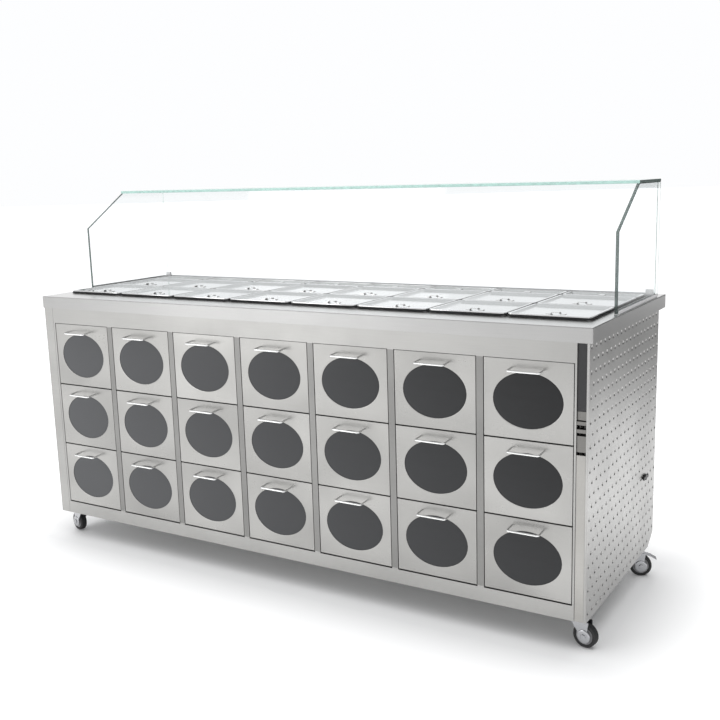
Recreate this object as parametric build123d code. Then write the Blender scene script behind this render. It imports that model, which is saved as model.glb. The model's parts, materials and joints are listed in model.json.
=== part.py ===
from build123d import *
from math import cos, radians, sin
import os

# Steam table unit: a wheeled counter with three rows of lidded food pans over a hot-water well,
# a clear guard above them and seven columns of three drawers below.
# Millimetres. X runs along the counter, -Y is the drawer side, +Z is up, the floor is Z = 0.
# The origin is on the floor, at the middle of the object's box.

# Driving dimensions
LENGTH = 2200.0
DEPTH = 785.0
DECK_Z = 975.0
PULL_REACH = 42.0
SHEET = 1.5
DECK_SHEET = 2.0

EDGE_DROP = 45.0
BODY_INSET = 8.0
BODY_BACK_OVERHANG = 55.0
BODY_BOTTOM_Z = 100.0
KICK_RUN = 62.0
KICK_RISE = 38.0

COLUMNS = 7
ROWS = 3
COLUMN_PITCH = 301.7
ROW_PITCH = 241.0
FIRST_COLUMN_X = 199.9
DRAWERS_TOP_DROP = 102.5
FRONT_WIDTH = 275.5
FRONT_HEIGHT = 238.0
FRONT_GAP = 2.0
FRAME_THICK = 18.0
TRAY_LENGTH = 540.0
TRAY_WIDTH = 250.0
TRAY_HEIGHT = 178.0
WINDOW_WIDTH = 216.0
WINDOW_HEIGHT = 167.0
WINDOW_THICK = 4.0

PANS = 8
PAN_PITCH = 265.0
PAN_ROW_PITCH = 240.0
PAN_FIRST_Y = 108.0
PAN_GAP = 3.0
SMALL_PAN_DEPTH = 97.0
PAN_BODY_INSET = 11.0
PAN_DROP = 65.0
PAN_CORNER_R = 14.0
PAN_SHEET = 1.2
PAN_FLANGE = 2.0
LID_HEIGHT = 9.0
OPENING_MARGIN = 9.0
OPENING_LIP = 16.0
WELL_DROP = 96.0

GLASS = 10.0
GUARD_FRONT_Y = 252.0
GUARD_TOP_FRONT_Y = 458.0
GUARD_BACK_Y = 708.0
GUARD_KNEE = 246.0
GUARD_HEIGHT = 390.0
GUARD_SIDE_INSET = 8.0

TUBE = 25.0
TUBE_WALL = 2.0

RAIL_HEIGHT = 20.0
RAIL_DEPTH = 23.5
RAIL_WALL = 2.0
RAIL_GAP = 0.5
RAIL_DROP = 70.0

WHEEL_R = 37.5
WHEEL_WIDTH = 24.0
CASTER_TRAIL = 28.0
AXLE_R = 4.0
RUNNING_GAP = 0.05

# Derived datums
LEFT = -LENGTH / 2
RIGHT = LENGTH / 2
FRONT = -(DEPTH - PULL_REACH) / 2
BACK = FRONT + DEPTH
BODY_LEFT = LEFT + BODY_INSET
BODY_RIGHT = RIGHT - BODY_INSET
BODY_BACK = BACK - BODY_BACK_OVERHANG
BODY_TOP_Z = DECK_Z - EDGE_DROP
DRAWERS_TOP_Z = DECK_Z - DRAWERS_TOP_DROP
DRAWERS_BOTTOM_Z = DRAWERS_TOP_Z - ROWS * ROW_PITCH
COLUMN_X = [LEFT + FIRST_COLUMN_X + i * COLUMN_PITCH for i in range(COLUMNS)]
ROW_TOP_Z = [DRAWERS_TOP_Z - i * ROW_PITCH for i in range(ROWS)]
PAN_X = [(i - (PANS - 1) / 2) * PAN_PITCH for i in range(PANS)]
PAN_FIELD_HALF = PANS * PAN_PITCH / 2
PAN_ROWS = {
    "front": (FRONT + PAN_FIRST_Y, PAN_ROW_PITCH),
    "middle": (FRONT + PAN_FIRST_Y + PAN_ROW_PITCH, PAN_ROW_PITCH),
    "back": (FRONT + PAN_FIRST_Y + 2 * PAN_ROW_PITCH, SMALL_PAN_DEPTH),
}
PAN_FIELD_BACK = PAN_ROWS["back"][0] + SMALL_PAN_DEPTH
SLOT_LEFT = LEFT + 2156.0
SLOT_RIGHT = BODY_RIGHT - SHEET - 6.0
SLOT_DEPTH = 42.0
POST_LEFT_X = (BODY_LEFT + 2.5, BODY_LEFT + 2.5 + TUBE)
POST_RIGHT_X = (BODY_RIGHT - 2.5 - TUBE, BODY_RIGHT - 2.5)
POST_FRONT_Y = (FRONT + SLOT_DEPTH, FRONT + SLOT_DEPTH + TUBE)
POST_BACK_Y = (BODY_BACK - KICK_RUN - 4.0 - TUBE, BODY_BACK - KICK_RUN - 4.0)
DRAIN_Y = FRONT + 600.0
DRAIN_Z = DECK_Z - 600.0
DRAIN_X = RIGHT - 110.0
PIPE_R = 10.5
KNOB_AT = (LEFT + 310.0, BODY_BACK + 35.0, BODY_TOP_Z - 128.0)
CASTER_X = 1047.0
CASTER_FRONT_Y = FRONT + 62.0
CASTER_BACK_Y = FRONT + 642.0
CASTERS = {
    "front_left": (-CASTER_X, CASTER_FRONT_Y, 165.0),
    "front_right": (CASTER_X, CASTER_FRONT_Y, -10.0),
    "back_left": (-CASTER_X, CASTER_BACK_Y, 140.0),
    "back_right": (CASTER_X, CASTER_BACK_Y, 22.0),
}
BRAKED = ("back_left", "back_right")
PEDAL_PIVOT = (38.0, 79.0)
PEDAL_PIN_R = 2.0
PLATE_SIZE = (70.0, 52.0, 4.0)
PLATE_Z = BODY_BOTTOM_Z - PLATE_SIZE[2]
RACE_Z = PLATE_Z - 7.0
FORK_TOP_Z = RACE_Z - 0.5


def slab(x, y, z):
    """A box from its low and high limits along each axis."""
    box = Box(x[1] - x[0], y[1] - y[0], z[1] - z[0])
    return Pos((x[0] + x[1]) / 2, (y[0] + y[1]) / 2, (z[0] + z[1]) / 2) * box


def rounded_slab(cx, y, width, z, radius):
    """An upright block with rounded vertical corners, centred on cx."""
    section = RectangleRounded(width, y[1] - y[0], radius)
    return extrude(Pos(cx, (y[0] + y[1]) / 2, z[0]) * section, z[1] - z[0])


def plate_yz(points, x, thickness, holes=()):
    """A flat plate in the YZ plane, from x towards +X, with round holes given as (y, z, radius)."""
    outer = Wire.make_polygon([Vector(x, y, z) for y, z in points])
    plane = Plane(origin=(x, 0, 0), x_dir=(0, 1, 0), z_dir=(1, 0, 0))
    rings = [Wire.make_circle(r, Plane(origin=(x, y, z), z_dir=plane.z_dir)) for y, z, r in holes]
    return extrude(Face(outer, rings), thickness, dir=(1, 0, 0))


def rod(start, end, radius):
    """A round rod between two points."""
    a = Vector(*start)
    b = Vector(*end)
    axis = b - a
    return extrude(Plane(origin=a, z_dir=axis) * Circle(radius), axis.length)


def square_tube(x, y, z):
    """A square tube that fills the given limits, open at both ends of its longest side."""
    limits = [x, y, z]
    lengths = [hi - lo for lo, hi in limits]
    along = lengths.index(max(lengths))
    bore = [lim if i == along else (lim[0] + TUBE_WALL, lim[1] - TUBE_WALL) for i, lim in enumerate(limits)]
    return slab(*limits) - slab(*bore)


def save(name, solids):
    """Write one node's solids to its own STEP file."""
    export_step(Compound(children=list(solids)) if len(solids) > 1 else solids[0], f"parts/{name}.step")


# ---------------------------------------------------------------- counter top and guard

def pan_opening(margin, z):
    """The block that the pan field fills, drawn in by a margin all round."""
    x = (-PAN_FIELD_HALF + margin, PAN_FIELD_HALF - margin)
    return slab(x, (PAN_ROWS["front"][0] + margin, PAN_FIELD_BACK - margin), z)


def counter_top():
    """The deck: one folded sheet with turned-down edges and a single opening for the pans."""
    corner_r = 3.0
    block = slab((LEFT, RIGHT), (FRONT, BACK), (DECK_Z - EDGE_DROP, DECK_Z))
    block = fillet(block.edges().group_by(Axis.Z)[-1] + block.edges().filter_by(Axis.Z), corner_r)
    inside = slab(
        (LEFT + DECK_SHEET, RIGHT - DECK_SHEET),
        (FRONT + DECK_SHEET, BACK - DECK_SHEET),
        (DECK_Z - EDGE_DROP, DECK_Z - DECK_SHEET),
    )
    z = (DECK_Z - OPENING_LIP, DECK_Z)
    lip = pan_opening(OPENING_MARGIN - DECK_SHEET, (z[0], z[1] - DECK_SHEET))
    return [block - inside + lip - pan_opening(OPENING_MARGIN, z)]


def pan_support_bars():
    """Loose bars across the deck opening that carry the pan flanges."""
    bar_w = 14.0
    bar_h = 14.0
    z = (DECK_Z - bar_h, DECK_Z)
    margin = OPENING_MARGIN
    reach = PAN_FIELD_HALF - margin
    bars = []
    for row in ("middle", "back"):
        y = PAN_ROWS[row][0]
        bars.append(slab((-reach, reach), (y - bar_w / 2, y + bar_w / 2), z))
    stops = [
        PAN_ROWS["front"][0] + margin,
        PAN_ROWS["middle"][0] - bar_w / 2,
        PAN_ROWS["middle"][0] + bar_w / 2,
        PAN_ROWS["back"][0] - bar_w / 2,
        PAN_ROWS["back"][0] + bar_w / 2,
        PAN_FIELD_BACK - margin,
    ]
    for i in range(1, PANS):
        x = (i - PANS / 2) * PAN_PITCH
        for y in zip(stops[0::2], stops[1::2]):
            bars.append(slab((x - bar_w / 2, x + bar_w / 2), y, z))
    return bars


def water_well():
    """The shallow hot-water tank under the pans, welded to the underside of the deck."""
    rim_reach = 8.0
    wall_in = OPENING_MARGIN - DECK_SHEET - 0.2
    top = DECK_Z - DECK_SHEET - 0.1
    bottom = DECK_Z - WELL_DROP
    shell = pan_opening(wall_in - SHEET, (bottom, top - SHEET))
    rim = pan_opening(wall_in - SHEET - rim_reach, (top - SHEET, top))
    inner = pan_opening(wall_in, (bottom + SHEET, top))
    outlet = Pos(DRAIN_X - 90.0, DRAIN_Y, bottom + SHEET / 2) * Cylinder(PIPE_R - TUBE_WALL, 2 * SHEET)
    return [shell + rim - inner - outlet]


def heating_elements():
    """Four tubular hairpin elements lying near the bottom of the well."""
    r = 4.0
    bend = 28.0
    z = DECK_Z - WELL_DROP + SHEET + 3.0 + r
    half = 235.0
    elements = []
    y_mid = FRONT + PAN_FIRST_Y + 270.0
    for i in range(4):
        cx = (i - 1.5) * 2 * PAN_PITCH
        path = FilletPolyline(
            (cx - half, y_mid - bend, z),
            (cx + half, y_mid - bend, z),
            (cx + half, y_mid + bend, z),
            (cx - half, y_mid + bend, z),
            radius=bend - 1.0,
        )
        section = Plane(origin=path @ 0, z_dir=path % 0) * Circle(r)
        elements.append(sweep(section, path=path))
    return elements


def guard_end_panels():
    """The two clear end panels with the sloped front edge."""
    top = DECK_Z + GUARD_HEIGHT - GLASS
    foot = DECK_Z + 3.0
    outline = [
        (FRONT + GUARD_FRONT_Y, foot),
        (FRONT + GUARD_FRONT_Y, DECK_Z + GUARD_KNEE),
        (FRONT + GUARD_TOP_FRONT_Y, top),
        (FRONT + GUARD_BACK_Y, top),
        (FRONT + GUARD_BACK_Y, foot),
    ]
    return [
        plate_yz(outline, LEFT + GUARD_SIDE_INSET, GLASS),
        plate_yz(outline, RIGHT - GUARD_SIDE_INSET - GLASS, GLASS),
    ]


def guard_back_panel():
    """The clear back panel, between the end panels."""
    side = GUARD_SIDE_INSET + GLASS
    y = (FRONT + GUARD_BACK_Y - GLASS, FRONT + GUARD_BACK_Y)
    return [slab((LEFT + side, RIGHT - side), y, (DECK_Z + 3.0, DECK_Z + GUARD_HEIGHT - GLASS))]


def guard_top_panel():
    """The narrow clear shelf that closes the guard, resting on the end and back panels."""
    x = (LEFT + GUARD_SIDE_INSET, RIGHT - GUARD_SIDE_INSET)
    y = (FRONT + GUARD_TOP_FRONT_Y, FRONT + GUARD_BACK_Y)
    return [slab(x, y, (DECK_Z + GUARD_HEIGHT - GLASS, DECK_Z + GUARD_HEIGHT))]


def guard_channels():
    """U channels on the deck that hold the end and back panels, and a clamp at each back corner."""
    wall = 2.0
    height = 12.0
    z = (DECK_Z, DECK_Z + height)
    slot_z = (DECK_Z + wall, DECK_Z + height)
    pieces = []
    for side in (-1, 1):
        mid = side * (RIGHT - GUARD_SIDE_INSET - GLASS / 2)
        y = (FRONT + GUARD_FRONT_Y + 6.0, FRONT + GUARD_BACK_Y - GLASS - wall - 0.2)
        outer = slab((mid - GLASS / 2 - wall, mid + GLASS / 2 + wall), y, z)
        slot = slab((mid - GLASS / 2 - 0.1, mid + GLASS / 2 + 0.1), y, slot_z)
        pieces.append(outer - slot)
    inner = RIGHT - GUARD_SIDE_INSET - GLASS - 0.2
    y_mid = FRONT + GUARD_BACK_Y - GLASS / 2
    outer = slab((-inner, inner), (y_mid - GLASS / 2 - wall, y_mid + GLASS / 2 + wall), z)
    slot = slab((-inner, inner), (y_mid - GLASS / 2 - 0.1, y_mid + GLASS / 2 + 0.1), slot_z)
    pieces.append(outer - slot)
    clamp = 26.0
    for side in (-1, 1):
        x = sorted((side * (inner - 0.2), side * (inner - clamp)))
        y = (y_mid - GLASS / 2 - wall - 7.0, y_mid - GLASS / 2 - wall - 0.1)
        pieces.append(slab(x, y, (DECK_Z, DECK_Z + clamp)))
    return pieces


# ---------------------------------------------------------------- pans and lids

def pan(cx, y_low, pitch):
    """One flanged food pan: a floor, eight lengths of wall around it and four flange strips."""
    t = PAN_SHEET
    r = PAN_CORNER_R
    half = (PAN_PITCH - PAN_GAP) / 2
    rim_x = (cx - half, cx + half)
    rim_y = (y_low + PAN_GAP / 2, y_low + pitch - PAN_GAP / 2)
    x = (rim_x[0] + PAN_BODY_INSET, rim_x[1] - PAN_BODY_INSET)
    y = (rim_y[0] + PAN_BODY_INSET, rim_y[1] - PAN_BODY_INSET)
    z = (DECK_Z - PAN_DROP + t, DECK_Z + PAN_FLANGE)
    rim_z = (DECK_Z, z[1])
    width = x[1] - x[0]
    floor = rounded_slab(cx, y, width, (DECK_Z - PAN_DROP, z[0]), r)
    tub = rounded_slab(cx, y, width, z, r) + slab(x, y, rim_z)
    tub -= rounded_slab(cx, (y[0] + t, y[1] - t), width - 2 * t, z, r - t)
    cuts_x = ((x[0], x[0] + r), (x[0] + r, x[1] - r), (x[1] - r, x[1]))
    cuts_y = ((y[0], y[0] + r), (y[0] + r, y[1] - r), (y[1] - r, y[1]))
    walls = []
    for i, cut_x in enumerate(cuts_x):
        for j, cut_y in enumerate(cuts_y):
            if (i, j) != (1, 1):
                walls.append(tub & slab(cut_x, cut_y, z))
    rim = rounded_slab(cx, rim_y, 2 * half, rim_z, 12.0)
    strips = [
        rim & slab(rim_x, (rim_y[0], y[0]), rim_z),
        rim & slab(rim_x, (y[1], rim_y[1]), rim_z),
        slab((rim_x[0], x[0]), y, rim_z),
        slab((x[1], rim_x[1]), y, rim_z),
    ]
    return [floor, *walls, *strips]


def pan_row(row):
    """One row of pans side by side."""
    y_low, pitch = PAN_ROWS[row]
    return [piece for cx in PAN_X for piece in pan(cx, y_low, pitch)]


def lid(cx, y_low, pitch):
    """One lid: a raised rim around a dished centre, and a low grip near the front."""
    seat = DECK_Z + PAN_FLANGE + 0.2
    top = seat + LID_HEIGHT
    edge = PAN_GAP / 2 + 1.5
    band = 20.0
    dish = 4.5
    y = (y_low + edge, y_low + pitch - edge)
    width = PAN_PITCH - 2 * edge
    dish_y = (y[0] + band, y[1] - band)
    dish_w = width - 2 * band
    t = PAN_SHEET
    body = rounded_slab(cx, y, width, (seat, top), 13.0)
    body -= rounded_slab(cx, dish_y, dish_w, (top - dish, top), 12.0)
    under_y = (y[0] + t, y[1] - t)
    body -= rounded_slab(cx, under_y, width - 2 * t, (seat, top - dish - t), 11.8)
    ring = rounded_slab(cx, under_y, width - 2 * t, (top - dish - t, top - t), 11.8)
    ring -= rounded_slab(cx, (dish_y[0] - t, dish_y[1] + t), dish_w + 2 * t, (top - dish - t, top - t), 13.2)
    body -= ring
    grip_y = dish_y[0] + 0.24 * (dish_y[1] - dish_y[0])
    grip_half = 22.0
    grip_r = 2.0
    grip_z = top - dish + 3.0 + grip_r
    bar = rod((cx - grip_half, grip_y, grip_z), (cx + grip_half, grip_y, grip_z), grip_r)
    feet = [
        slab((x - 3.0, x + 3.0), (grip_y - 3.0, grip_y + 3.0), (top - dish, grip_z - grip_r + 0.4))
        for x in (cx - grip_half + 4.0, cx + grip_half - 4.0)
    ]
    return [body, bar + feet]


def lid_row(row):
    """One row of lids with their grips."""
    y_low, pitch = PAN_ROWS[row]
    return [piece for cx in PAN_X for piece in lid(cx, y_low, pitch)]


# ---------------------------------------------------------------- cabinet

def frame_section(x, z):
    """One box section of the front frame, folded back at every edge and open behind."""
    y = (FRONT, FRONT + FRAME_THICK)
    hollow = slab((x[0] + SHEET, x[1] - SHEET), (y[0] + SHEET, y[1]), (z[0] + SHEET, z[1] - SHEET))
    return slab(x, y, z) - hollow


def face_frame():
    """The welded front frame: two rails, a mullion at each side of every column, and the left stile."""
    left = LEFT + 52.0
    half = FRONT_WIDTH / 2 + FRONT_GAP
    low = DRAWERS_BOTTOM_Z - FRONT_GAP
    rails = [
        frame_section((left, SLOT_LEFT), (DRAWERS_TOP_Z, BODY_TOP_Z)),
        frame_section((left, SLOT_LEFT), (BODY_BOTTOM_Z, low)),
    ]
    starts = [left] + [cx + half for cx in COLUMN_X]
    ends = [cx - half for cx in COLUMN_X] + [SLOT_LEFT]
    mullions = [frame_section(x, (low, DRAWERS_TOP_Z)) for x in zip(starts, ends)]
    stile = frame_section((BODY_LEFT + SHEET + 0.2, left - 0.8), (BODY_BOTTOM_Z, BODY_TOP_Z))
    return [*rails, *mullions, stile]


def corner_slot_fittings():
    """What fills the open front slot beside the last column: blocks, two cross bars and a cover."""
    x = (SLOT_LEFT + 0.5, SLOT_RIGHT - 0.5)
    bands = [
        (241.0, 267.0, 6.0, 18.0),
        (269.0, 280.0, 1.0, 18.0),
        (292.0, 303.0, 1.0, 18.0),
        (312.0, 360.0, 4.0, 18.0),
        (368.0, DECK_Z - BODY_BOTTOM_Z, 1.5, 3.0),
    ]
    return [slab(x, (FRONT + near, FRONT + far), (DECK_Z - low, DECK_Z - high)) for high, low, near, far in bands]


def side_outline():
    """The side panel's edge: square at the front, cut across the lower back corner."""
    return [
        (FRONT, BODY_BOTTOM_Z),
        (FRONT, BODY_TOP_Z),
        (BODY_BACK, BODY_TOP_Z),
        (BODY_BACK, BODY_BOTTOM_Z + KICK_RISE),
        (BODY_BACK - KICK_RUN, BODY_BOTTOM_Z),
    ]


def perforations(keep_clear=()):
    """Staggered round holes over a side panel, clear of its edges and of the given (y, z, radius)."""
    pitch_y = 40.0
    pitch_z = 36.0
    r = 5.0
    margin = 12.0
    holes = []
    rows = int((BODY_TOP_Z - BODY_BOTTOM_Z - 2 * margin) / pitch_z) + 1
    cols = int((BODY_BACK - FRONT - 2 * margin) / pitch_y) + 1
    for i in range(rows):
        z = BODY_TOP_Z - margin - i * pitch_z
        for j in range(cols):
            y = FRONT + margin + r + j * pitch_y + (i % 2) * pitch_y / 2
            kick = (z - BODY_BOTTOM_Z) / KICK_RISE + (BODY_BACK - y) / KICK_RUN
            inside = y < BODY_BACK - margin and z > BODY_BOTTOM_Z + margin and kick > 1.35
            free = all((y - cy) ** 2 + (z - cz) ** 2 > (cr + margin) ** 2 for cy, cz, cr in keep_clear)
            if inside and free:
                holes.append((y, z, r))
    return holes


def side_panel(side):
    """A perforated side sheet with a narrow front return; the right one also passes the drain."""
    drain = [(DRAIN_Y, DRAIN_Z, PIPE_R + 1.5)] if side > 0 else []
    x = BODY_RIGHT - SHEET if side > 0 else BODY_LEFT
    sheet = plate_yz(side_outline(), x, SHEET, perforations(drain) + drain)
    if side < 0:
        return [sheet]
    lip = slab((SLOT_RIGHT, BODY_RIGHT - SHEET), (FRONT, FRONT + SHEET), (BODY_BOTTOM_Z, BODY_TOP_Z))
    return [sheet + lip]


def back_panel():
    """The back sheet, folded forward along the kick, with two groups of vent slots."""
    x = (BODY_LEFT + SHEET + 0.3, BODY_RIGHT - SHEET - 0.3)
    fold_z = BODY_BOTTOM_Z + KICK_RISE
    slope_y = BODY_BACK - KICK_RUN
    t = SHEET
    points = [
        (BODY_BACK, BODY_TOP_Z),
        (BODY_BACK, fold_z),
        (slope_y, BODY_BOTTOM_Z),
        (slope_y, BODY_BOTTOM_Z + 1.3 * t),
        (BODY_BACK - t, fold_z + 0.7 * t),
        (BODY_BACK - t, BODY_TOP_Z),
    ]
    sheet = plate_yz(points, x[0], x[1] - x[0])
    vents = []
    for group_x in (-620.0, 620.0):
        for column in (-1, 0, 1):
            for row in range(8):
                cx = group_x + column * 90.0
                z = BODY_BOTTOM_Z + 150.0 + row * 14.0
                vents.append(slab((cx - 35.0, cx + 35.0), (BODY_BACK - 2 * t, BODY_BACK + t), (z, z + 5.0)))
    return [sheet - vents]


def floor_panel():
    """The cabinet's bottom sheet, notched around the corner posts."""
    x = (BODY_LEFT + SHEET + 0.3, BODY_RIGHT - SHEET - 0.3)
    y = (FRONT + FRAME_THICK + 0.5, BODY_BACK - KICK_RUN - 2.0)
    z = (BODY_BOTTOM_Z + TUBE + 0.2, BODY_BOTTOM_Z + TUBE + 0.2 + SHEET)
    notches = [
        slab((px[0] - 0.3, px[1] + 0.3), (py[0] - 0.3, py[1] + 0.3), z)
        for px in (POST_LEFT_X, POST_RIGHT_X)
        for py in (POST_FRONT_Y, POST_BACK_Y)
    ]
    return [slab(x, y, z) - notches]


def base_frame():
    """The welded tube frame: bottom ring with caster cross members, corner posts and top rails."""
    x_low = POST_LEFT_X
    x_high = POST_RIGHT_X
    y_front = POST_FRONT_Y
    y_back = POST_BACK_Y
    z_low = (BODY_BOTTOM_Z, BODY_BOTTOM_Z + TUBE)
    z_top = (BODY_TOP_Z - TUBE - 2.0, BODY_TOP_Z - 2.0)
    post_back = (BODY_BACK - SHEET - 1.0 - TUBE, BODY_BACK - SHEET - 1.0)
    tubes = []
    for y in (y_front, y_back):
        tubes.append(square_tube((x_low[0], x_high[1]), y, z_low))
    for x in (x_low, x_high, (-TUBE / 2, TUBE / 2)):
        tubes.append(square_tube(x, (y_front[1], y_back[0]), z_low))
    for x in (x_low, x_high):
        tubes.append(square_tube(x, y_front, (z_low[1], z_top[0])))
        tubes.append(square_tube(x, y_back, (z_low[1], z_top[0])))
        tubes.append(square_tube(x, (y_front[0], y_back[1]), z_top))
    tubes.append(square_tube((x_low[1] + 0.2, x_high[0] - 0.2), post_back, z_top))
    return tubes


def divider_panels():
    """The upright sheets between and beside the drawer columns."""
    y = (FRONT + FRAME_THICK + 0.5, FRONT + FRAME_THICK + TRAY_LENGTH + 20.0)
    z = (BODY_BOTTOM_Z + TUBE + SHEET + 0.4, DRAWERS_TOP_Z + 4.0)
    edges = [COLUMN_X[0] - COLUMN_PITCH / 2] + [cx + COLUMN_PITCH / 2 for cx in COLUMN_X]
    return [slab((x - SHEET / 2, x + SHEET / 2), y, z) for x in edges]


def drawer_rails():
    """A pair of fixed C channels for every drawer, on the divider sheets."""
    rails = []
    for cx in COLUMN_X:
        wall_x = COLUMN_PITCH / 2 - SHEET / 2
        for top in ROW_TOP_Z:
            z = (top - RAIL_DROP - RAIL_HEIGHT, top - RAIL_DROP)
            y = (FRONT + FRAME_THICK + 4.0, FRONT + FRAME_THICK + TRAY_LENGTH + 4.0)
            for side in (-1, 1):
                x = sorted((cx + side * (wall_x - RAIL_DEPTH), cx + side * (wall_x - 0.05)))
                bore = sorted((cx + side * (wall_x - RAIL_DEPTH), cx + side * (wall_x - RAIL_WALL)))
                rail = slab(x, y, z) - slab(bore, y, (z[0] + RAIL_WALL, z[1] - RAIL_WALL))
                rails.append(rail)
    return rails


def control_box():
    """The heat control on the back: a housing, a shaft boss, a pilot lamp and an empty cable gland."""
    x = (LEFT + 260.0, LEFT + 440.0)
    y = (BODY_BACK + 0.1, BODY_BACK + 34.0)
    z = (BODY_TOP_Z - 190.0, BODY_TOP_Z - 70.0)
    t = 1.5
    box = fillet(slab(x, y, z).edges().filter_by(Axis.Y), 6.0)
    box -= slab((x[0] + t, x[1] - t), (y[0], y[1] - t), (z[0] + t, z[1] - t))
    kx, _, kz = KNOB_AT
    shaft = rod((kx, y[1] - t - 6.0, kz), (kx, y[1] + 9.0, kz), 3.0)
    box -= rod((kx, y[1] - 2 * t, kz), (kx, y[1] + t, kz), 3.4)
    stop = slab((kx - 8.0, kx + 8.0), (y[1] - t - 8.0, y[1] - t - 6.0), (kz - 8.0, kz + 8.0))
    lamp = rod((kx + 70.0, y[1] + 0.05, kz), (kx + 70.0, y[1] + 5.0, kz), 6.0)
    gland_x = x[0] + 90.0
    gland = rod((gland_x, y[0] + 17.0, z[0] - 16.0), (gland_x, y[0] + 17.0, z[0] - 0.05), 9.0)
    cable_way = rod((gland_x, y[0] + 17.0, z[0] - 17.0), (gland_x, y[0] + 17.0, z[0] + 2 * t), 4.5)
    gland -= cable_way
    box -= cable_way
    return [box, shaft + stop, lamp, gland]


def thermostat_knob():
    """The round knob with a pointer rib, turning on the shaft."""
    x, y, z = KNOB_AT
    knob = rod((x, y, z), (x, y + 14.0, z), 19.0)
    knob = chamfer(knob.edges().group_by(Axis.Y)[-1], 2.0)
    rib = slab((x - 2.5, x + 2.5), (y + 12.0, y + 18.0), (z - 17.0, z + 17.0))
    bore = rod((x, y - 1.0, z), (x, y + 9.0, z), 3.0 + RUNNING_GAP)
    return [knob + rib - bore]


# ---------------------------------------------------------------- drain

def drain_pipe():
    """The drain: a pipe from the well, an elbow, a run to the side panel and the valve body."""
    x0 = DRAIN_X - 90.0
    top = DECK_Z - WELL_DROP - 0.05
    elbow = 26.0
    end_x = BODY_RIGHT - 2.0
    path = FilletPolyline((x0, DRAIN_Y, top), (x0, DRAIN_Y, DRAIN_Z), (end_x, DRAIN_Y, DRAIN_Z), radius=elbow)
    plane = Plane(origin=path @ 0, z_dir=path % 0)
    tube = sweep(plane * Circle(PIPE_R), path=path) - sweep(plane * Circle(PIPE_R - TUBE_WALL), path=path)
    flange = Pos(x0, DRAIN_Y, top - 2.0) * (Cylinder(18.0, 4.0) - Cylinder(PIPE_R + 0.05, 4.0))
    body = extrude(Plane(origin=(end_x - 46.0, DRAIN_Y, DRAIN_Z), z_dir=(1, 0, 0)) * RegularPolygon(17.0, 6), 34.0)
    body -= rod((end_x - 47.0, DRAIN_Y, DRAIN_Z), (end_x, DRAIN_Y, DRAIN_Z), PIPE_R + 0.05)
    stem = rod((end_x + 0.05, DRAIN_Y, DRAIN_Z), (BODY_RIGHT + 3.0, DRAIN_Y, DRAIN_Z), 6.0)
    return [tube, flange, body, stem]


def drain_handle():
    """The butterfly handle that turns the drain cock, on the outside of the side panel."""
    x = (BODY_RIGHT + 0.8, BODY_RIGHT + 7.5)
    reach = 21.0
    tip_r = 6.5
    hub = rod((x[0], DRAIN_Y, DRAIN_Z), (x[1], DRAIN_Y, DRAIN_Z), 9.5)
    wings = [slab((x[0] + 2.0, x[1]), (DRAIN_Y - reach, DRAIN_Y + reach), (DRAIN_Z - 4.0, DRAIN_Z + 4.0))]
    for side in (-1, 1):
        y = DRAIN_Y + side * reach
        wings.append(rod((x[0] + 2.0, y, DRAIN_Z), (x[1], y, DRAIN_Z), tip_r))
    bore = rod((x[0] - 1.0, DRAIN_Y, DRAIN_Z), (BODY_RIGHT + 3.2, DRAIN_Y, DRAIN_Z), 6.0 + RUNNING_GAP)
    return [hub + wings - bore]


# ---------------------------------------------------------------- drawers

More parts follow.
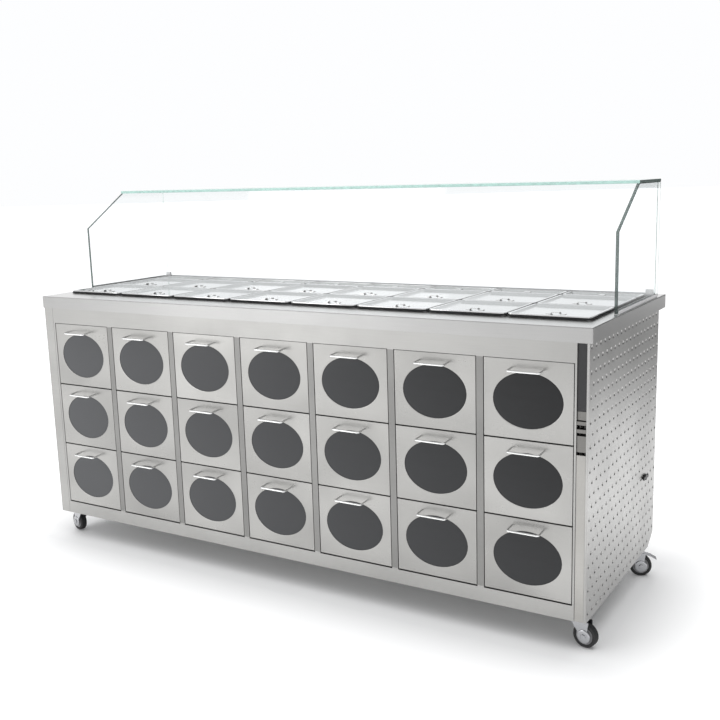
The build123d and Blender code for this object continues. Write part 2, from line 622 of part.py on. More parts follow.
def drawer(cx, top):
    """One drawer: tray, front sheet with an oval hole and four folds, window, pull, slide bars."""
    z = (top - FRONT_GAP / 2 - FRONT_HEIGHT, top - FRONT_GAP / 2)
    half = FRONT_WIDTH / 2
    fold = 16.0
    t = SHEET
    x = (cx - half, cx + half)
    face = slab(x, (FRONT, FRONT + t), z)
    face = chamfer(face.edges().group_by(Axis.Y)[0], 0.6)
    middle = Plane(origin=(cx, FRONT + t, (z[0] + z[1]) / 2 - 1.5), x_dir=(1, 0, 0), z_dir=(0, -1, 0))
    face -= extrude(middle * Ellipse(WINDOW_WIDTH / 2, WINDOW_HEIGHT / 2), 2 * t, both=True)
    fold_y = (FRONT + t, FRONT + fold)
    folds = [
        slab(x, fold_y, (z[0], z[0] + t)),
        slab(x, fold_y, (z[1] - t, z[1])),
        slab((x[0], x[0] + t), fold_y, (z[0] + t, z[1] - t)),
        slab((x[1] - t, x[1]), fold_y, (z[0] + t, z[1] - t)),
    ]
    seat = Plane(origin=(cx, FRONT + t, (z[0] + z[1]) / 2 - 1.5), x_dir=(1, 0, 0), z_dir=(0, 1, 0))
    window = extrude(seat * Ellipse(WINDOW_WIDTH / 2 + 6.0, WINDOW_HEIGHT / 2 + 6.0), WINDOW_THICK)

    tray_x = (cx - TRAY_WIDTH / 2, cx + TRAY_WIDTH / 2)
    tray_y = (FRONT + t, FRONT + FRAME_THICK + TRAY_LENGTH)
    tray_z = (z[0] + 8.0, z[0] + 8.0 + TRAY_HEIGHT)
    wall_z = (tray_z[0] + t, tray_z[1])
    tray = [
        slab(tray_x, tray_y, (tray_z[0], tray_z[0] + t)),
        slab((tray_x[0], tray_x[0] + t), tray_y, wall_z),
        slab((tray_x[1] - t, tray_x[1]), tray_y, wall_z),
        slab((tray_x[0] + t, tray_x[1] - t), (tray_y[1] - t, tray_y[1]), wall_z),
    ]

    pull_half = 53.0
    pull_r = 3.4
    pull_z = top - 27.0
    pull_y = FRONT - PULL_REACH + pull_r
    pieces = [*tray, face, *folds, window]
    pieces.append(rod((cx - pull_half, pull_y, pull_z - 3.0), (cx + pull_half, pull_y, pull_z - 3.0), pull_r))
    for side in (-1, 1):
        x = cx + side * (pull_half - pull_r)
        pieces.append(rod((x, FRONT, pull_z), (x, pull_y + pull_r, pull_z - 2.4), pull_r - 0.2))
        bar_z = top - RAIL_DROP - RAIL_HEIGHT
        bar_x = sorted((cx + side * (TRAY_WIDTH / 2 + 0.05), cx + side * (FRONT_WIDTH / 2 + 0.8)))
        bar_y = (tray_y[0] + 30.0, tray_y[1])
        low = bar_z + RAIL_WALL + RAIL_GAP
        high = bar_z + RAIL_HEIGHT - RAIL_WALL - RAIL_GAP
        pieces.append(slab(bar_x, bar_y, (low, high)))
    return pieces


# ---------------------------------------------------------------- casters

def caster_plates():
    """The four fixed top plates with the upper half of each swivel race."""
    pieces = []
    for x, y, _ in CASTERS.values():
        plate = fillet((Pos(x, y, PLATE_Z + 2.0) * Box(*PLATE_SIZE)).edges().filter_by(Axis.Z), 6.0)
        race = Pos(x, y, RACE_Z + 3.5) * Cylinder(23.0, 7.0)
        pieces.append(plate + race)
    return pieces


def turned(name, shape):
    """Move a shape made around the swivel axis at the origin, trail towards +X, to its caster."""
    x, y, angle = CASTERS[name]
    return Pos(x, y, 0) * Rot(0, 0, angle) * shape


def caster_fork(name):
    """The swivelling fork: lower race, crown, two legs and the axle bolt."""
    crown_z = (FORK_TOP_Z - 9.0, FORK_TOP_Z - 5.0)
    side = WHEEL_WIDTH / 2 + 1.5
    leg_t = 2.5
    race = Pos(0, 0, (crown_z[1] + FORK_TOP_Z) / 2) * Cylinder(21.0, 5.0)
    crown = slab((-20.0, PEDAL_PIVOT[0] - 5.0), (-side - leg_t, side + leg_t), crown_z)
    outline = make_face(Polyline(
        (-18.0, crown_z[1]),
        (PEDAL_PIVOT[0] + 4.5, crown_z[1]),
        (PEDAL_PIVOT[0] + 4.5, PEDAL_PIVOT[1] - 4.5),
        (CASTER_TRAIL + 9.0, WHEEL_R - 2.0),
        (CASTER_TRAIL, WHEEL_R - 10.0),
        (CASTER_TRAIL - 9.0, WHEEL_R - 4.0),
        close=True,
    ))
    legs = []
    for y in (-side - leg_t, side):
        plane = Plane(origin=(0, y + leg_t, 0), x_dir=(1, 0, 0), z_dir=(0, -1, 0))
        legs.append(extrude(plane * outline, leg_t))
    axle = rod((CASTER_TRAIL, -side - leg_t - 4.0, WHEEL_R), (CASTER_TRAIL, side + leg_t + 4.0, WHEEL_R), AXLE_R)
    head = rod((CASTER_TRAIL, -side - leg_t - 4.0, WHEEL_R), (CASTER_TRAIL, -side - leg_t, WHEEL_R), 7.0)
    fork = race + crown + legs + axle + head
    if name in BRAKED:
        px, pz = PEDAL_PIVOT
        fork += rod((px, -side - 1.0, pz), (px, side + 1.0, pz), PEDAL_PIN_R)
    return [turned(name, fork)]


def caster_wheel(name):
    """The wheel: a tyre on a hub, free on the axle bolt."""
    half = WHEEL_WIDTH / 2
    rim_r = 27.0
    tyre = rod((CASTER_TRAIL, -half, WHEEL_R), (CASTER_TRAIL, half, WHEEL_R), WHEEL_R)
    tyre = fillet(tyre.edges().filter_by(GeomType.CIRCLE), 3.5)
    tyre -= rod((CASTER_TRAIL, -half, WHEEL_R), (CASTER_TRAIL, half, WHEEL_R), rim_r)
    hub = rod((CASTER_TRAIL, -half + 1.0, WHEEL_R), (CASTER_TRAIL, half - 1.0, WHEEL_R), rim_r - 0.02)
    hub -= rod((CASTER_TRAIL, -half, WHEEL_R), (CASTER_TRAIL, half, WHEEL_R), AXLE_R + RUNNING_GAP)
    return [turned(name, tyre), turned(name, hub)]


def brake_pedal(name):
    """The brake pedal: a lipped tread hung on the fork behind the wheel."""
    px, pz = PEDAL_PIVOT
    half = WHEEL_WIDTH / 2 + 1.0
    points = [
        (px, pz + 3.5),
        (px + 7.0, pz + 1.5),
        (px + 24.0, pz - 4.0),
        (px + 43.0, pz - 15.0),
        (px + 42.0, pz - 17.5),
        (px + 23.0, pz - 6.5),
        (px + 5.0, pz - 1.0),
        (px, pz - 1.0),
    ]
    outline = make_face(Polyline(*points, close=True))
    plane = Plane(origin=(0, half, 0), x_dir=(1, 0, 0), z_dir=(0, -1, 0))
    barrel = rod((px, -half, pz), (px, half, pz), 4.0)
    bore = rod((px, -half, pz), (px, half, pz), PEDAL_PIN_R + RUNNING_GAP)
    return [turned(name, extrude(plane * outline, 2 * half) + barrel - bore)]


# ---------------------------------------------------------------- fasteners

def panel_screws():
    """Pan-head screws along the back panel's edges."""
    r = 4.5
    screws = []
    for z in (BODY_BOTTOM_Z + 60.0, BODY_TOP_Z - 24.0):
        for i in range(9):
            x = (i - 4) * 265.0
            screws.append(rod((x, BODY_BACK + 0.05, z), (x, BODY_BACK + 2.6, z), r))
    for x in (BODY_LEFT + 26.0, BODY_RIGHT - 26.0):
        for i in range(3):
            z = BODY_BOTTOM_Z + 230.0 + i * 200.0
            screws.append(rod((x, BODY_BACK + 0.05, z), (x, BODY_BACK + 2.6, z), r))
    return [chamfer(s.edges().group_by(Axis.Y)[-1], 1.0) for s in screws]


def main():
    os.makedirs("parts", exist_ok=True)
    save("counter_top", counter_top())
    save("pan_support_bars", pan_support_bars())
    save("water_well", water_well())
    save("heating_elements", heating_elements())
    save("guard_end_panels", guard_end_panels())
    save("guard_back_panel", guard_back_panel())
    save("guard_top_panel", guard_top_panel())
    save("guard_channels", guard_channels())
    for row in PAN_ROWS:
        save(f"pans_{row}_row", pan_row(row))
        save(f"lids_{row}_row", lid_row(row))
    save("face_frame", face_frame())
    save("corner_slot_fittings", corner_slot_fittings())
    save("side_panel_left", side_panel(-1))
    save("side_panel_right", side_panel(1))
    save("back_panel", back_panel())
    save("floor_panel", floor_panel())
    save("base_frame", base_frame())
    save("divider_panels", divider_panels())
    save("drawer_rails", drawer_rails())
    save("control_box", control_box())
    save("thermostat_knob", thermostat_knob())
    save("drain_pipe", drain_pipe())
    save("drain_handle", drain_handle())
    for i, cx in enumerate(COLUMN_X):
        for j, top in enumerate(ROW_TOP_Z):
            save(f"drawer_{i + 1}_{'abc'[j]}", drawer(cx, top))
    save("caster_plates", caster_plates())
    for name in CASTERS:
        save(f"caster_fork_{name}", caster_fork(name))
        save(f"caster_wheel_{name}", caster_wheel(name))
    for name in BRAKED:
        save(f"brake_pedal_{name}", brake_pedal(name))
    save("panel_screws", panel_screws())


main()
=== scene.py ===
import json
from math import cos, pi, radians, sin, tan

import bmesh
import bpy
from mathutils import Matrix, Vector


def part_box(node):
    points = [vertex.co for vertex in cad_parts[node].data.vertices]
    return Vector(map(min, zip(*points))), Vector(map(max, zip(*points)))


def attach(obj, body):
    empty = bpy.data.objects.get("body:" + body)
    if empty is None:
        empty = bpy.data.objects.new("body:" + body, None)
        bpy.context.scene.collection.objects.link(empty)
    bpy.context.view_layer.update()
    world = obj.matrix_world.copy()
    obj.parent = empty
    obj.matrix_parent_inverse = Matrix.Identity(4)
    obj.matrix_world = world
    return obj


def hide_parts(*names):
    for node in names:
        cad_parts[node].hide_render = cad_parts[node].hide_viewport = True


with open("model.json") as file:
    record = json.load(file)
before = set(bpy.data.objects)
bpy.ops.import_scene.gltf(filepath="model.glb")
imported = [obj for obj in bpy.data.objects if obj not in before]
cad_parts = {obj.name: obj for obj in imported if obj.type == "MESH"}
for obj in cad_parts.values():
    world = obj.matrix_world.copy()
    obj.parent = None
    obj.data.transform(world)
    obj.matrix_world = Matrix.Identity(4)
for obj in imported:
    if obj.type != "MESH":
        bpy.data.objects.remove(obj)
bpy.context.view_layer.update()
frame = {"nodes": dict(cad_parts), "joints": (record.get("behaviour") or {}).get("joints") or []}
nodes = frame["nodes"]
joints = {j["name"]: j for j in frame["joints"]}
MM = 0.001
SEAM = 0.000001
SHEET_SEAM = 0.00001
NODE_WELD = 0.00002

# ---------------------------------------------------------------- shader helpers


def new_material(name):
    """An empty node material and its output node."""
    material = bpy.data.materials.new(name)
    material.use_nodes = True
    tree = material.node_tree
    tree.nodes.clear()
    return material, tree, tree.nodes.new("ShaderNodeOutputMaterial")


def add(tree, kind, **values):
    """A node with its properties and its input defaults set by name."""
    node = tree.nodes.new(kind)
    for key, value in values.items():
        if hasattr(node, key):
            setattr(node, key, value)
        else:
            node.inputs[key.replace("_", " ")].default_value = value
    return node


def principled(tree, output, **values):
    shader = add(tree, "ShaderNodeBsdfPrincipled", **values)
    tree.links.new(shader.outputs[0], output.inputs["Surface"])
    return shader


def stretched_noise(tree, scale, detail=3.0, roughness=0.6, offset=None):
    """Noise in the object's own coordinates, stretched by a scale per axis."""
    coords = tree.nodes.new("ShaderNodeTexCoord")
    mapping = tree.nodes.new("ShaderNodeMapping")
    mapping.inputs["Scale"].default_value = scale
    tree.links.new(coords.outputs["Object"], mapping.inputs["Vector"])
    if offset is not None:
        tree.links.new(offset, mapping.inputs["Location"])
    noise = add(tree, "ShaderNodeTexNoise", Scale=1.0, Detail=detail, Roughness=roughness)
    tree.links.new(mapping.outputs[0], noise.inputs["Vector"])
    return noise.outputs[0]


def ramp(tree, source, low, high, from_low=0.3, from_high=0.7):
    """A number remapped to a new range."""
    node = tree.nodes.new("ShaderNodeMapRange")
    node.inputs["From Min"].default_value = from_low
    node.inputs["From Max"].default_value = from_high
    node.inputs["To Min"].default_value = low
    node.inputs["To Max"].default_value = high
    tree.links.new(source, node.inputs["Value"])
    return node.outputs[0]


def shade_of(tree, source, colour, spread):
    """A colour that gets a little lighter and darker with a number."""
    mix = tree.nodes.new("ShaderNodeMix")
    mix.data_type = "RGBA"
    mix.inputs[6].default_value = (*[c * (1 - spread) for c in colour], 1)
    mix.inputs[7].default_value = (*[min(1.0, c * (1 + spread)) for c in colour], 1)
    tree.links.new(source, mix.inputs[0])
    return mix.outputs[2]


def bump(tree, source, strength, distance):
    node = tree.nodes.new("ShaderNodeBump")
    node.inputs["Strength"].default_value = strength
    node.inputs["Distance"].default_value = distance
    tree.links.new(source, node.inputs["Height"])
    return node.outputs[0]


def calculate(tree, operation, *operands):
    """One step of arithmetic on fixed numbers or on the outputs of nodes."""
    node = tree.nodes.new("ShaderNodeMath")
    node.operation = operation
    for socket, operand in zip(node.inputs, operands):
        if isinstance(operand, float):
            socket.default_value = operand
        else:
            tree.links.new(operand, socket)
    return node.outputs[0]


def mixed(tree, a, b, factor):
    """Two numbers mixed by a fixed factor."""
    node = tree.nodes.new("ShaderNodeMix")
    node.inputs[0].default_value = factor
    tree.links.new(a, node.inputs[2])
    tree.links.new(b, node.inputs[3])
    return node.outputs[0]


FINE_GRAIN = 2600.0
GRAIN_LENGTH = 9.0
COARSE_GRAIN = 0.22
COARSE_SHARE = 0.12
SCRATCH_DEPTH = 0.00006
SHIFT_BETWEEN_OBJECTS = (31.0, 17.0, 23.0)


def brushed(name, colour, rough, grain="X", grain_strength=0.1, spread=0.05, smudges=0.06, drift=0.09):
    """Brushed stainless sheet: fine parallel scratches, slow changes of tone and faint smears."""
    material, tree, output = new_material(name)
    shader = principled(tree, output, Metallic=1.0, Roughness=rough)
    scale = [FINE_GRAIN] * 3
    scale["XYZ".index(grain)] = GRAIN_LENGTH
    scratches = stretched_noise(tree, scale, detail=2.0)
    coarse = stretched_noise(tree, [s * COARSE_GRAIN for s in scale], detail=3.0)
    lines = mixed(tree, scratches, coarse, COARSE_SHARE)
    place = tree.nodes.new("ShaderNodeObjectInfo")
    shift = tree.nodes.new("ShaderNodeVectorMath")
    shift.operation = "SCALE"
    shift.inputs[0].default_value = SHIFT_BETWEEN_OBJECTS
    tree.links.new(place.outputs["Random"], shift.inputs["Scale"])
    sheet = stretched_noise(tree, (2.4, 2.4, 3.4), detail=1.5, offset=shift.outputs[0])
    smears = stretched_noise(tree, (14.0, 14.0, 9.0), detail=5.0, roughness=0.7, offset=shift.outputs[0])
    fine = shade_of(tree, ramp(tree, lines, 0.0, 1.0, 0.35, 0.65), colour, spread)
    slow = shade_of(tree, ramp(tree, sheet, 0.0, 1.0, 0.32, 0.68), (1.0 / (1.0 + drift),) * 3, drift)
    tone = tree.nodes.new("ShaderNodeMix")
    tone.data_type = "RGBA"
    tone.blend_type = "MULTIPLY"
    tone.inputs[0].default_value = 1.0
    tree.links.new(fine, tone.inputs[6])
    tree.links.new(slow, tone.inputs[7])
    tree.links.new(tone.outputs[2], shader.inputs["Base Color"])
    gloss = mixed(tree, lines, smears, 0.5)
    roughness = ramp(tree, gloss, rough - smudges, rough + smudges, 0.35, 0.65)
    tree.links.new(roughness, shader.inputs["Roughness"])
    tree.links.new(bump(tree, scratches, grain_strength, SCRATCH_DEPTH), shader.inputs["Normal"])
    return material


def multiply_colour(material, factor):
    """Multiplies a material's base colour by the number that a node gives."""
    tree = material.node_tree
    shader = tree.nodes["Principled BSDF"]
    scaled = tree.nodes.new("ShaderNodeVectorMath")
    scaled.operation = "SCALE"
    tree.links.new(shader.inputs["Base Color"].links[0].from_socket, scaled.inputs[0])
    tree.links.new(factor, scaled.inputs["Scale"])
    tree.links.new(scaled.outputs[0], shader.inputs["Base Color"])


def axes_of(tree, kind, output):
    """The X, Y and Z of a vector that a new node of some kind gives."""
    split = tree.nodes.new("ShaderNodeSeparateXYZ")
    tree.links.new(tree.nodes.new(kind).outputs[output], split.inputs[0])
    return split.outputs


def paint_light_along_z(material, kind, output, gains, start, end):
    """Paints light and shade into a sheet's colour: scales it by gains that change as the Z of a node's
    vector goes from start to end.
    """
    tree = material.node_tree
    multiply_colour(material, ramp(tree, axes_of(tree, kind, output)["Z"], *gains, start, end))


def shade_between(material, first, last, count, half_width, bottom, top, gain):
    """Paints shade on a sheet in the gaps between evenly spaced columns, between two heights."""
    tree = material.node_tree
    place = axes_of(tree, "ShaderNodeTexCoord", "Object")
    pitch = (last - first) / (count - 1)
    from_first = calculate(tree, "SUBTRACT", place["X"], first)
    off_centre = calculate(tree, "PINGPONG", from_first, pitch / 2)
    inside = ramp(tree, off_centre, 0.0, 1.0, half_width, half_width + 0.5 * MM)
    from_middle = calculate(tree, "SUBTRACT", place["X"], (first + last) / 2)
    from_middle = calculate(tree, "ABSOLUTE", from_middle)
    limits = (
        ("LESS_THAN", from_middle, (last - first) / 2 + half_width),
        ("GREATER_THAN", place["Z"], bottom),
        ("LESS_THAN", place["Z"], top),
    )
    for test, value, limit in limits:
        inside = calculate(tree, "MULTIPLY", inside, calculate(tree, test, value, limit))
    multiply_colour(material, ramp(tree, inside, 1.0, gain, 0.0, 1.0))


def plastic(name, colour, rough, texture=900.0, strength=0.15, coat=0.0):
    """Moulded plastic or rubber with a fine pebbled skin and handling marks."""
    material, tree, output = new_material(name)
    shader = principled(tree, output, Roughness=rough, Coat_Weight=coat, Coat_Roughness=0.05)
    pebble = stretched_noise(tree, (texture,) * 3, detail=2.0)
    marks = stretched_noise(tree, (22.0, 22.0, 22.0), detail=5.0)
    tree.links.new(shade_of(tree, ramp(tree, marks, 0.0, 1.0), colour, 0.18), shader.inputs["Base Color"])
    tree.links.new(ramp(tree, marks, rough * 0.85, min(1.0, rough * 1.2)), shader.inputs["Roughness"])
    tree.links.new(bump(tree, pebble, strength, 0.0002), shader.inputs["Normal"])
    return material


def smoked(name, colour, rough):
    """Dark tinted acrylic: glossy, with wiping haze, and a painted sheen that lightens its colour to grey at
    glancing angles.
    """
    material, tree, output = new_material(name)
    shader = principled(tree, output, Roughness=rough, IOR=1.30)
    haze = stretched_noise(tree, (9.0, 9.0, 30.0), detail=5.0, roughness=0.65)
    dust = stretched_noise(tree, (420.0, 420.0, 420.0), detail=2.0)
    facing = tree.nodes.new("ShaderNodeLayerWeight")
    # Painted sheen: the colour turns light grey where the face is seen at a glancing angle.
    grazing_sheen = ramp(tree, facing.outputs["Facing"], 0.0, 1.0, 0.07, 0.35)
    sheened = tree.nodes.new("ShaderNodeMix")
    sheened.data_type = "RGBA"
    sheened.inputs[7].default_value = (0.088, 0.090, 0.094, 1)
    tree.links.new(grazing_sheen, sheened.inputs[0])
    tree.links.new(shade_of(tree, ramp(tree, haze, 0.0, 1.0), colour, 0.12), sheened.inputs[6])
    tree.links.new(sheened.outputs[2], shader.inputs["Base Color"])
    film = mixed(tree, haze, dust, 0.3)
    tree.links.new(ramp(tree, film, rough * 0.7, rough * 1.5), shader.inputs["Roughness"])
    return material


def see_through(tree, output, tint, weight, surface):
    """Shows a surface over tinted clear glass; the weight is its share."""
    clear = tree.nodes.new("ShaderNodeBsdfTransparent")
    clear.inputs["Color"].default_value = (*tint, 1)
    mix = tree.nodes.new("ShaderNodeMixShader")
    if isinstance(weight, float):
        mix.inputs[0].default_value = weight
    else:
        tree.links.new(weight, mix.inputs[0])
    tree.links.new(clear.outputs[0], mix.inputs[1])
    tree.links.new(surface.outputs[0], mix.inputs[2])
    tree.links.new(mix.outputs[0], output.inputs["Surface"])


def clear_pane(name, tint, mirror):
    """Toughened glass seen through its faces: clear, with a surface reflection and a trace of wiping."""
    material, tree, output = new_material(name)
    gloss = tree.nodes.new("ShaderNodeBsdfGlossy")
    gloss.inputs["Color"].default_value = (1, 1, 1, 1)
    wipes = stretched_noise(tree, (5.0, 5.0, 16.0), detail=4.0)
    tree.links.new(ramp(tree, wipes, 0.01, 0.05), gloss.inputs["Roughness"])
    facing = tree.nodes.new("ShaderNodeLayerWeight")
    steep = calculate(tree, "POWER", facing.outputs["Facing"], 4.0)
    see_through(tree, output, tint, ramp(tree, steep, 0.03, mirror, 0.0, 1.0), gloss)
    return material


def glass_rim(name, colour, tint, solid):
    """The polished edge of the glass, where its green shows; part of it looks through."""
    material, tree, output = new_material(name)
    body = add(tree, "ShaderNodeBsdfPrincipled", Roughness=0.16, IOR=1.5)
    depth = stretched_noise(tree, (60.0, 60.0, 60.0), detail=3.0)
    tree.links.new(shade_of(tree, ramp(tree, depth, 0.0, 1.0), colour, 0.2), body.inputs["Base Color"])
    grind = stretched_noise(tree, (1500.0, 1500.0, 1500.0), detail=2.0)
    tree.links.new(bump(tree, grind, 0.1, 0.0001), body.inputs["Normal"])
    see_through(tree, output, tint, solid, body)
    return material


# ---------------------------------------------------------------- materials

STEEL = (0.41, 0.406, 0.394)
deck_steel = brushed("deck_steel", (0.56, 0.557, 0.55), 0.32, smudges=0.02, drift=0.03)
# Painted light and shade: the deck's upward faces are painted up to 1.6 times lighter and its front and side
# faces down to 0.74 times darker.
paint_light_along_z(deck_steel, "ShaderNodeNewGeometry", "Normal", (0.74, 1.6), 0.4, 0.9)
cabinet_steel = brushed("cabinet_steel", STEEL, 0.33)
frame_steel = brushed("frame_steel", STEEL, 0.33)
side_steel = brushed("side_steel", (0.45, 0.446, 0.436), 0.33, grain="Z")
drawer_steel = brushed("drawer_steel", (0.415, 0.41, 0.397), 0.31, drift=0.14)
# Painted shade: near-black steel on the drawer fronts' turned-back edges and window lips, which stands for
# the dark gap lines round each front.
fold_painted_shade = brushed("fold_painted_shade", (0.07, 0.07, 0.068), 0.5)
# Painted light: the tray and the back faces of the drawer front get this pale steel, lighter than the fronts,
# so the shaded inside of the drawer reads light.
tray_steel = brushed("tray_steel", (0.80, 0.80, 0.79), 0.4, grain="Y")
lid_steel = brushed("lid_steel", (0.87, 0.875, 0.875), 0.13, grain_strength=0.04, drift=0.04)
pan_steel = brushed("pan_steel", (0.70, 0.70, 0.69), 0.18, grain_strength=0.05)
bar_steel = brushed("bar_steel", (0.60, 0.60, 0.59), 0.3)
well_steel = brushed("well_steel", (0.50, 0.50, 0.49), 0.38)
inner_steel = brushed("inner_steel", (0.42, 0.42, 0.41), 0.42, grain="Y")
element_steel = brushed("element_steel", (0.30, 0.27, 0.24), 0.45, spread=0.3)
# Painted shade: the corner slot fittings are painted dark above 0.61 m, inside the slot, and 1.9 times
# lighter below.
fitting_steel = brushed("fitting_steel", (0.22, 0.215, 0.205), 0.34)
paint_light_along_z(fitting_steel, "ShaderNodeTexCoord", "Object", (1.9, 1.0), 0.608, 0.612)
aluminium = brushed("aluminium", (0.92, 0.92, 0.92), 0.5)
pull_steel = brushed("pull_steel", (0.95, 0.95, 0.945), 0.24, grain_strength=0.02, drift=0.02)
zinc = brushed("zinc", (0.52, 0.525, 0.54), 0.2, spread=0.12, smudges=0.1)
brass = brushed("brass", (0.62, 0.47, 0.22), 0.35, spread=0.12)
screw_steel = brushed("screw_steel", (0.62, 0.62, 0.61), 0.26)
control_paint = plastic("control_paint", (0.46, 0.46, 0.45), 0.45, texture=700.0, strength=0.2)
black_plastic = plastic("black_plastic", (0.016, 0.016, 0.017), 0.42)
# Painted shade: this black on the band under each lid's rim stands for the dark gap below the lid's edge.
lid_shade_black = plastic("lid_shade_black", (0.012, 0.012, 0.013), 0.6, texture=600.0)
tyre_rubber = plastic("tyre_rubber", (0.018, 0.018, 0.019), 0.62, texture=500.0, strength=0.25)
hub_plastic = plastic("hub_plastic", (0.34, 0.34, 0.35), 0.35, coat=0.2)
lamp_lens = plastic("lamp_lens", (0.45, 0.05, 0.02), 0.15, texture=300.0, strength=0.3, coat=0.6)
window_smoke = smoked("window_smoke", (0.012, 0.0122, 0.013), 0.10)
pane = clear_pane("pane", (0.975, 0.984, 0.985), 0.42)
# Painted highlight and shade: the four rim materials are one glass edge in plain, shaded, lit and pale tones,
# set side by side on the panes.
pane_edge = glass_rim("pane_edge", (0.075, 0.088, 0.085), (0.52, 0.62, 0.60), 0.8)
pane_rim_shaded = glass_rim("pane_rim_shaded", (0.008, 0.022, 0.018), (0.20, 0.34, 0.30), 0.92)
pane_rim_lit = glass_rim("pane_rim_lit", (0.34, 0.56, 0.50), (0.72, 0.90, 0.86), 0.60)
pane_faint = glass_rim("pane_faint", (0.80, 0.86, 0.85), (0.95, 0.98, 0.97), 0.12)
PANE_PARTS = [pane, pane_edge, pane_rim_shaded, pane_rim_lit, pane_faint]
EDGE, SHADED_RIM, LIT_RIM, FAINT = range(1, 5)

# ---------------------------------------------------------------- mesh helpers


def mesh_of(name, bm, materials):
    """A mesh with its faces turned outwards and its materials in order; the bmesh is used up."""
    mesh = bpy.data.meshes.new(name)
    bmesh.ops.recalc_face_normals(bm, faces=bm.faces)
    bm.to_mesh(mesh)
    bm.free()
    for material in materials:
        mesh.materials.append(material)
    return mesh


def smooth_below(mesh, angle):
    """Smooth shading, with edges sharper than an angle in degrees kept crisp."""
    mesh.shade_smooth()
    mesh.set_sharp_from_angle(angle=radians(angle))


def piece(name, bm, materials, body, stands_for=(), smooth=True, angle=35.0):
    """A finished piece: makes its mesh, gives it its materials, and ties it to its body."""
    mesh = mesh_of(name, bm, materials)
    obj = bpy.data.objects.new(name, mesh)
    bpy.context.scene.collection.objects.link(obj)
    if smooth:
        smooth_below(mesh, angle)
    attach(obj, body)
    if stands_for:
        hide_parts(*stands_for)
    return obj


def around(steps):
    """Evenly spaced angles round a circle."""
    return [2 * pi * k / steps for k in range(steps)]


def rounded_rectangle(width, depth, radius, steps=6):
    """Points counter-clockwise round a rounded rectangle about the origin."""
    points = []
    for k, (sx, sy) in enumerate(((1, 1), (-1, 1), (-1, -1), (1, -1))):
        cx = sx * (width / 2 - radius)
        cy = sy * (depth / 2 - radius)
        for i in range(steps + 1):
            a = (k + i / steps) * pi / 2
            points.append((cx + radius * cos(a), cy + radius * sin(a)))
    return points


def bridge(bm, ring_a, ring_b):
    """Quads between two rings of the same number of vertices."""
    count = len(ring_a)
    return [
        bm.faces.new((ring_a[i], ring_a[(i + 1) % count], ring_b[(i + 1) % count], ring_b[i]))
        for i in range(count)
    ]


def loft(bm, rings, capped=True):
    """A skin over rings of 3-D points, with its two ends closed if capped."""
    loops = [[bm.verts.new(p) for p in ring] for ring in rings]
    faces = []
    for a, b in zip(loops, loops[1:]):
        faces += bridge(bm, a, b)
    if capped:
        faces.append(bm.faces.new(loops[0][::-1]))
        faces.append(bm.faces.new(loops[-1]))
    return faces


def tray_rings(cx, cy, width, depth, radius, profile, z0):
    """Rounded-rectangle rings for a drawn sheet shape, from (inset, height) pairs."""
    rings = []
    for inset, height in profile:
        r = max(0.6 * MM, radius - inset)
        shape = rounded_rectangle(width - 2 * inset, depth - 2 * inset, r)
        rings.append([(cx + x, cy + y, z0 + height) for x, y in shape])
    return rings


def tube(bm, path, radius, sides):
    """A round bar that follows a list of points."""
    path = [Vector(p) for p in path]
    rings = []
    side = None
    for i, p in enumerate(path):
        ahead = (path[min(i + 1, len(path) - 1)] - path[max(i - 1, 0)]).normalized()
        if side is None:
            side = ahead.orthogonal().normalized()
        side = (side - ahead * side.dot(ahead)).normalized()
        up = ahead.cross(side)
        rings.append([p + radius * (cos(a) * side + sin(a) * up) for a in around(sides)])
    loft(bm, rings)


def bent_path(points, radius, steps=6):
    """A polyline with each inner corner replaced by an arc."""
    points = [Vector(p) for p in points]
    path = [points[0]]
    for before, corner, after in zip(points, points[1:], points[2:]):
        a = (before - corner).normalized()
        b = (after - corner).normalized()
        half = a.angle(b) / 2
        reach = radius / tan(half)
        centre = corner + (a + b).normalized() * (radius / sin(half))
        start = corner + a * reach
        end = corner + b * reach
        for i in range(steps + 1):
            spoke = (start - centre).lerp(end - centre, i / steps)
            path.append(centre + spoke.normalized() * radius)
    path.append(points[-1])
    return path


def solid_box(bm, low, high, bevel, segments=1):
    """A box with its edges rounded."""
    made = bmesh.ops.create_cube(bm, size=1.0)
    centre = [(a + b) / 2 for a, b in zip(low, high)]
    size = [b - a for a, b in zip(low, high)]
    for v in made["verts"]:
        v.co = Vector([c + s * q for c, s, q in zip(centre, size, v.co)])
    edges = {e for v in made["verts"] for e in v.link_edges}
    bmesh.ops.bevel(bm, geom=list(edges), offset=bevel, segments=segments, affect="EDGES", profile=0.6)


def revolve(bm, profile, centre, axis, steps):
    """A turned shape from (distance along axis, radius) pairs in mm; radius 0 ends close it."""
    axis = Vector(axis).normalized()
    side = axis.orthogonal().normalized()
    up = axis.cross(side)
    centre = Vector(centre)
    loops = []
    for along, radius in [(a * MM, r * MM) for a, r in profile]:
        if radius == 0:
            loops.append([bm.verts.new(centre + axis * along)])
        else:
            loops.append([
                bm.verts.new(centre + axis * along + radius * (cos(a) * side + sin(a) * up))
                for a in around(steps)
            ])
    for a, b in zip(loops, loops[1:]):
        for i in range(steps):
            j = (i + 1) % steps
            if len(a) == 1:
                bm.faces.new((a[0], b[j], b[i]))
            elif len(b) == 1:
                bm.faces.new((a[i], a[j], b[0]))
            else:
                bm.faces.new((a[i], a[j], b[j], b[i]))


def finish_node(name, material, edge):
    """A CAD node that stays: its material, and its edges eased by modifiers."""
    obj = nodes[name]
    obj.data.materials.clear()
    obj.data.materials.append(material)
    if edge:
        weld = obj.modifiers.new("weld", "WELD")
        weld.merge_threshold = NODE_WELD
        ease = obj.modifiers.new("ease", "BEVEL")
        ease.width = edge
        ease.segments = 2
        ease.limit_method = "ANGLE"
        ease.angle_limit = radians(40)
        ease.harden_normals = False


# ---------------------------------------------------------------- carried-over nodes

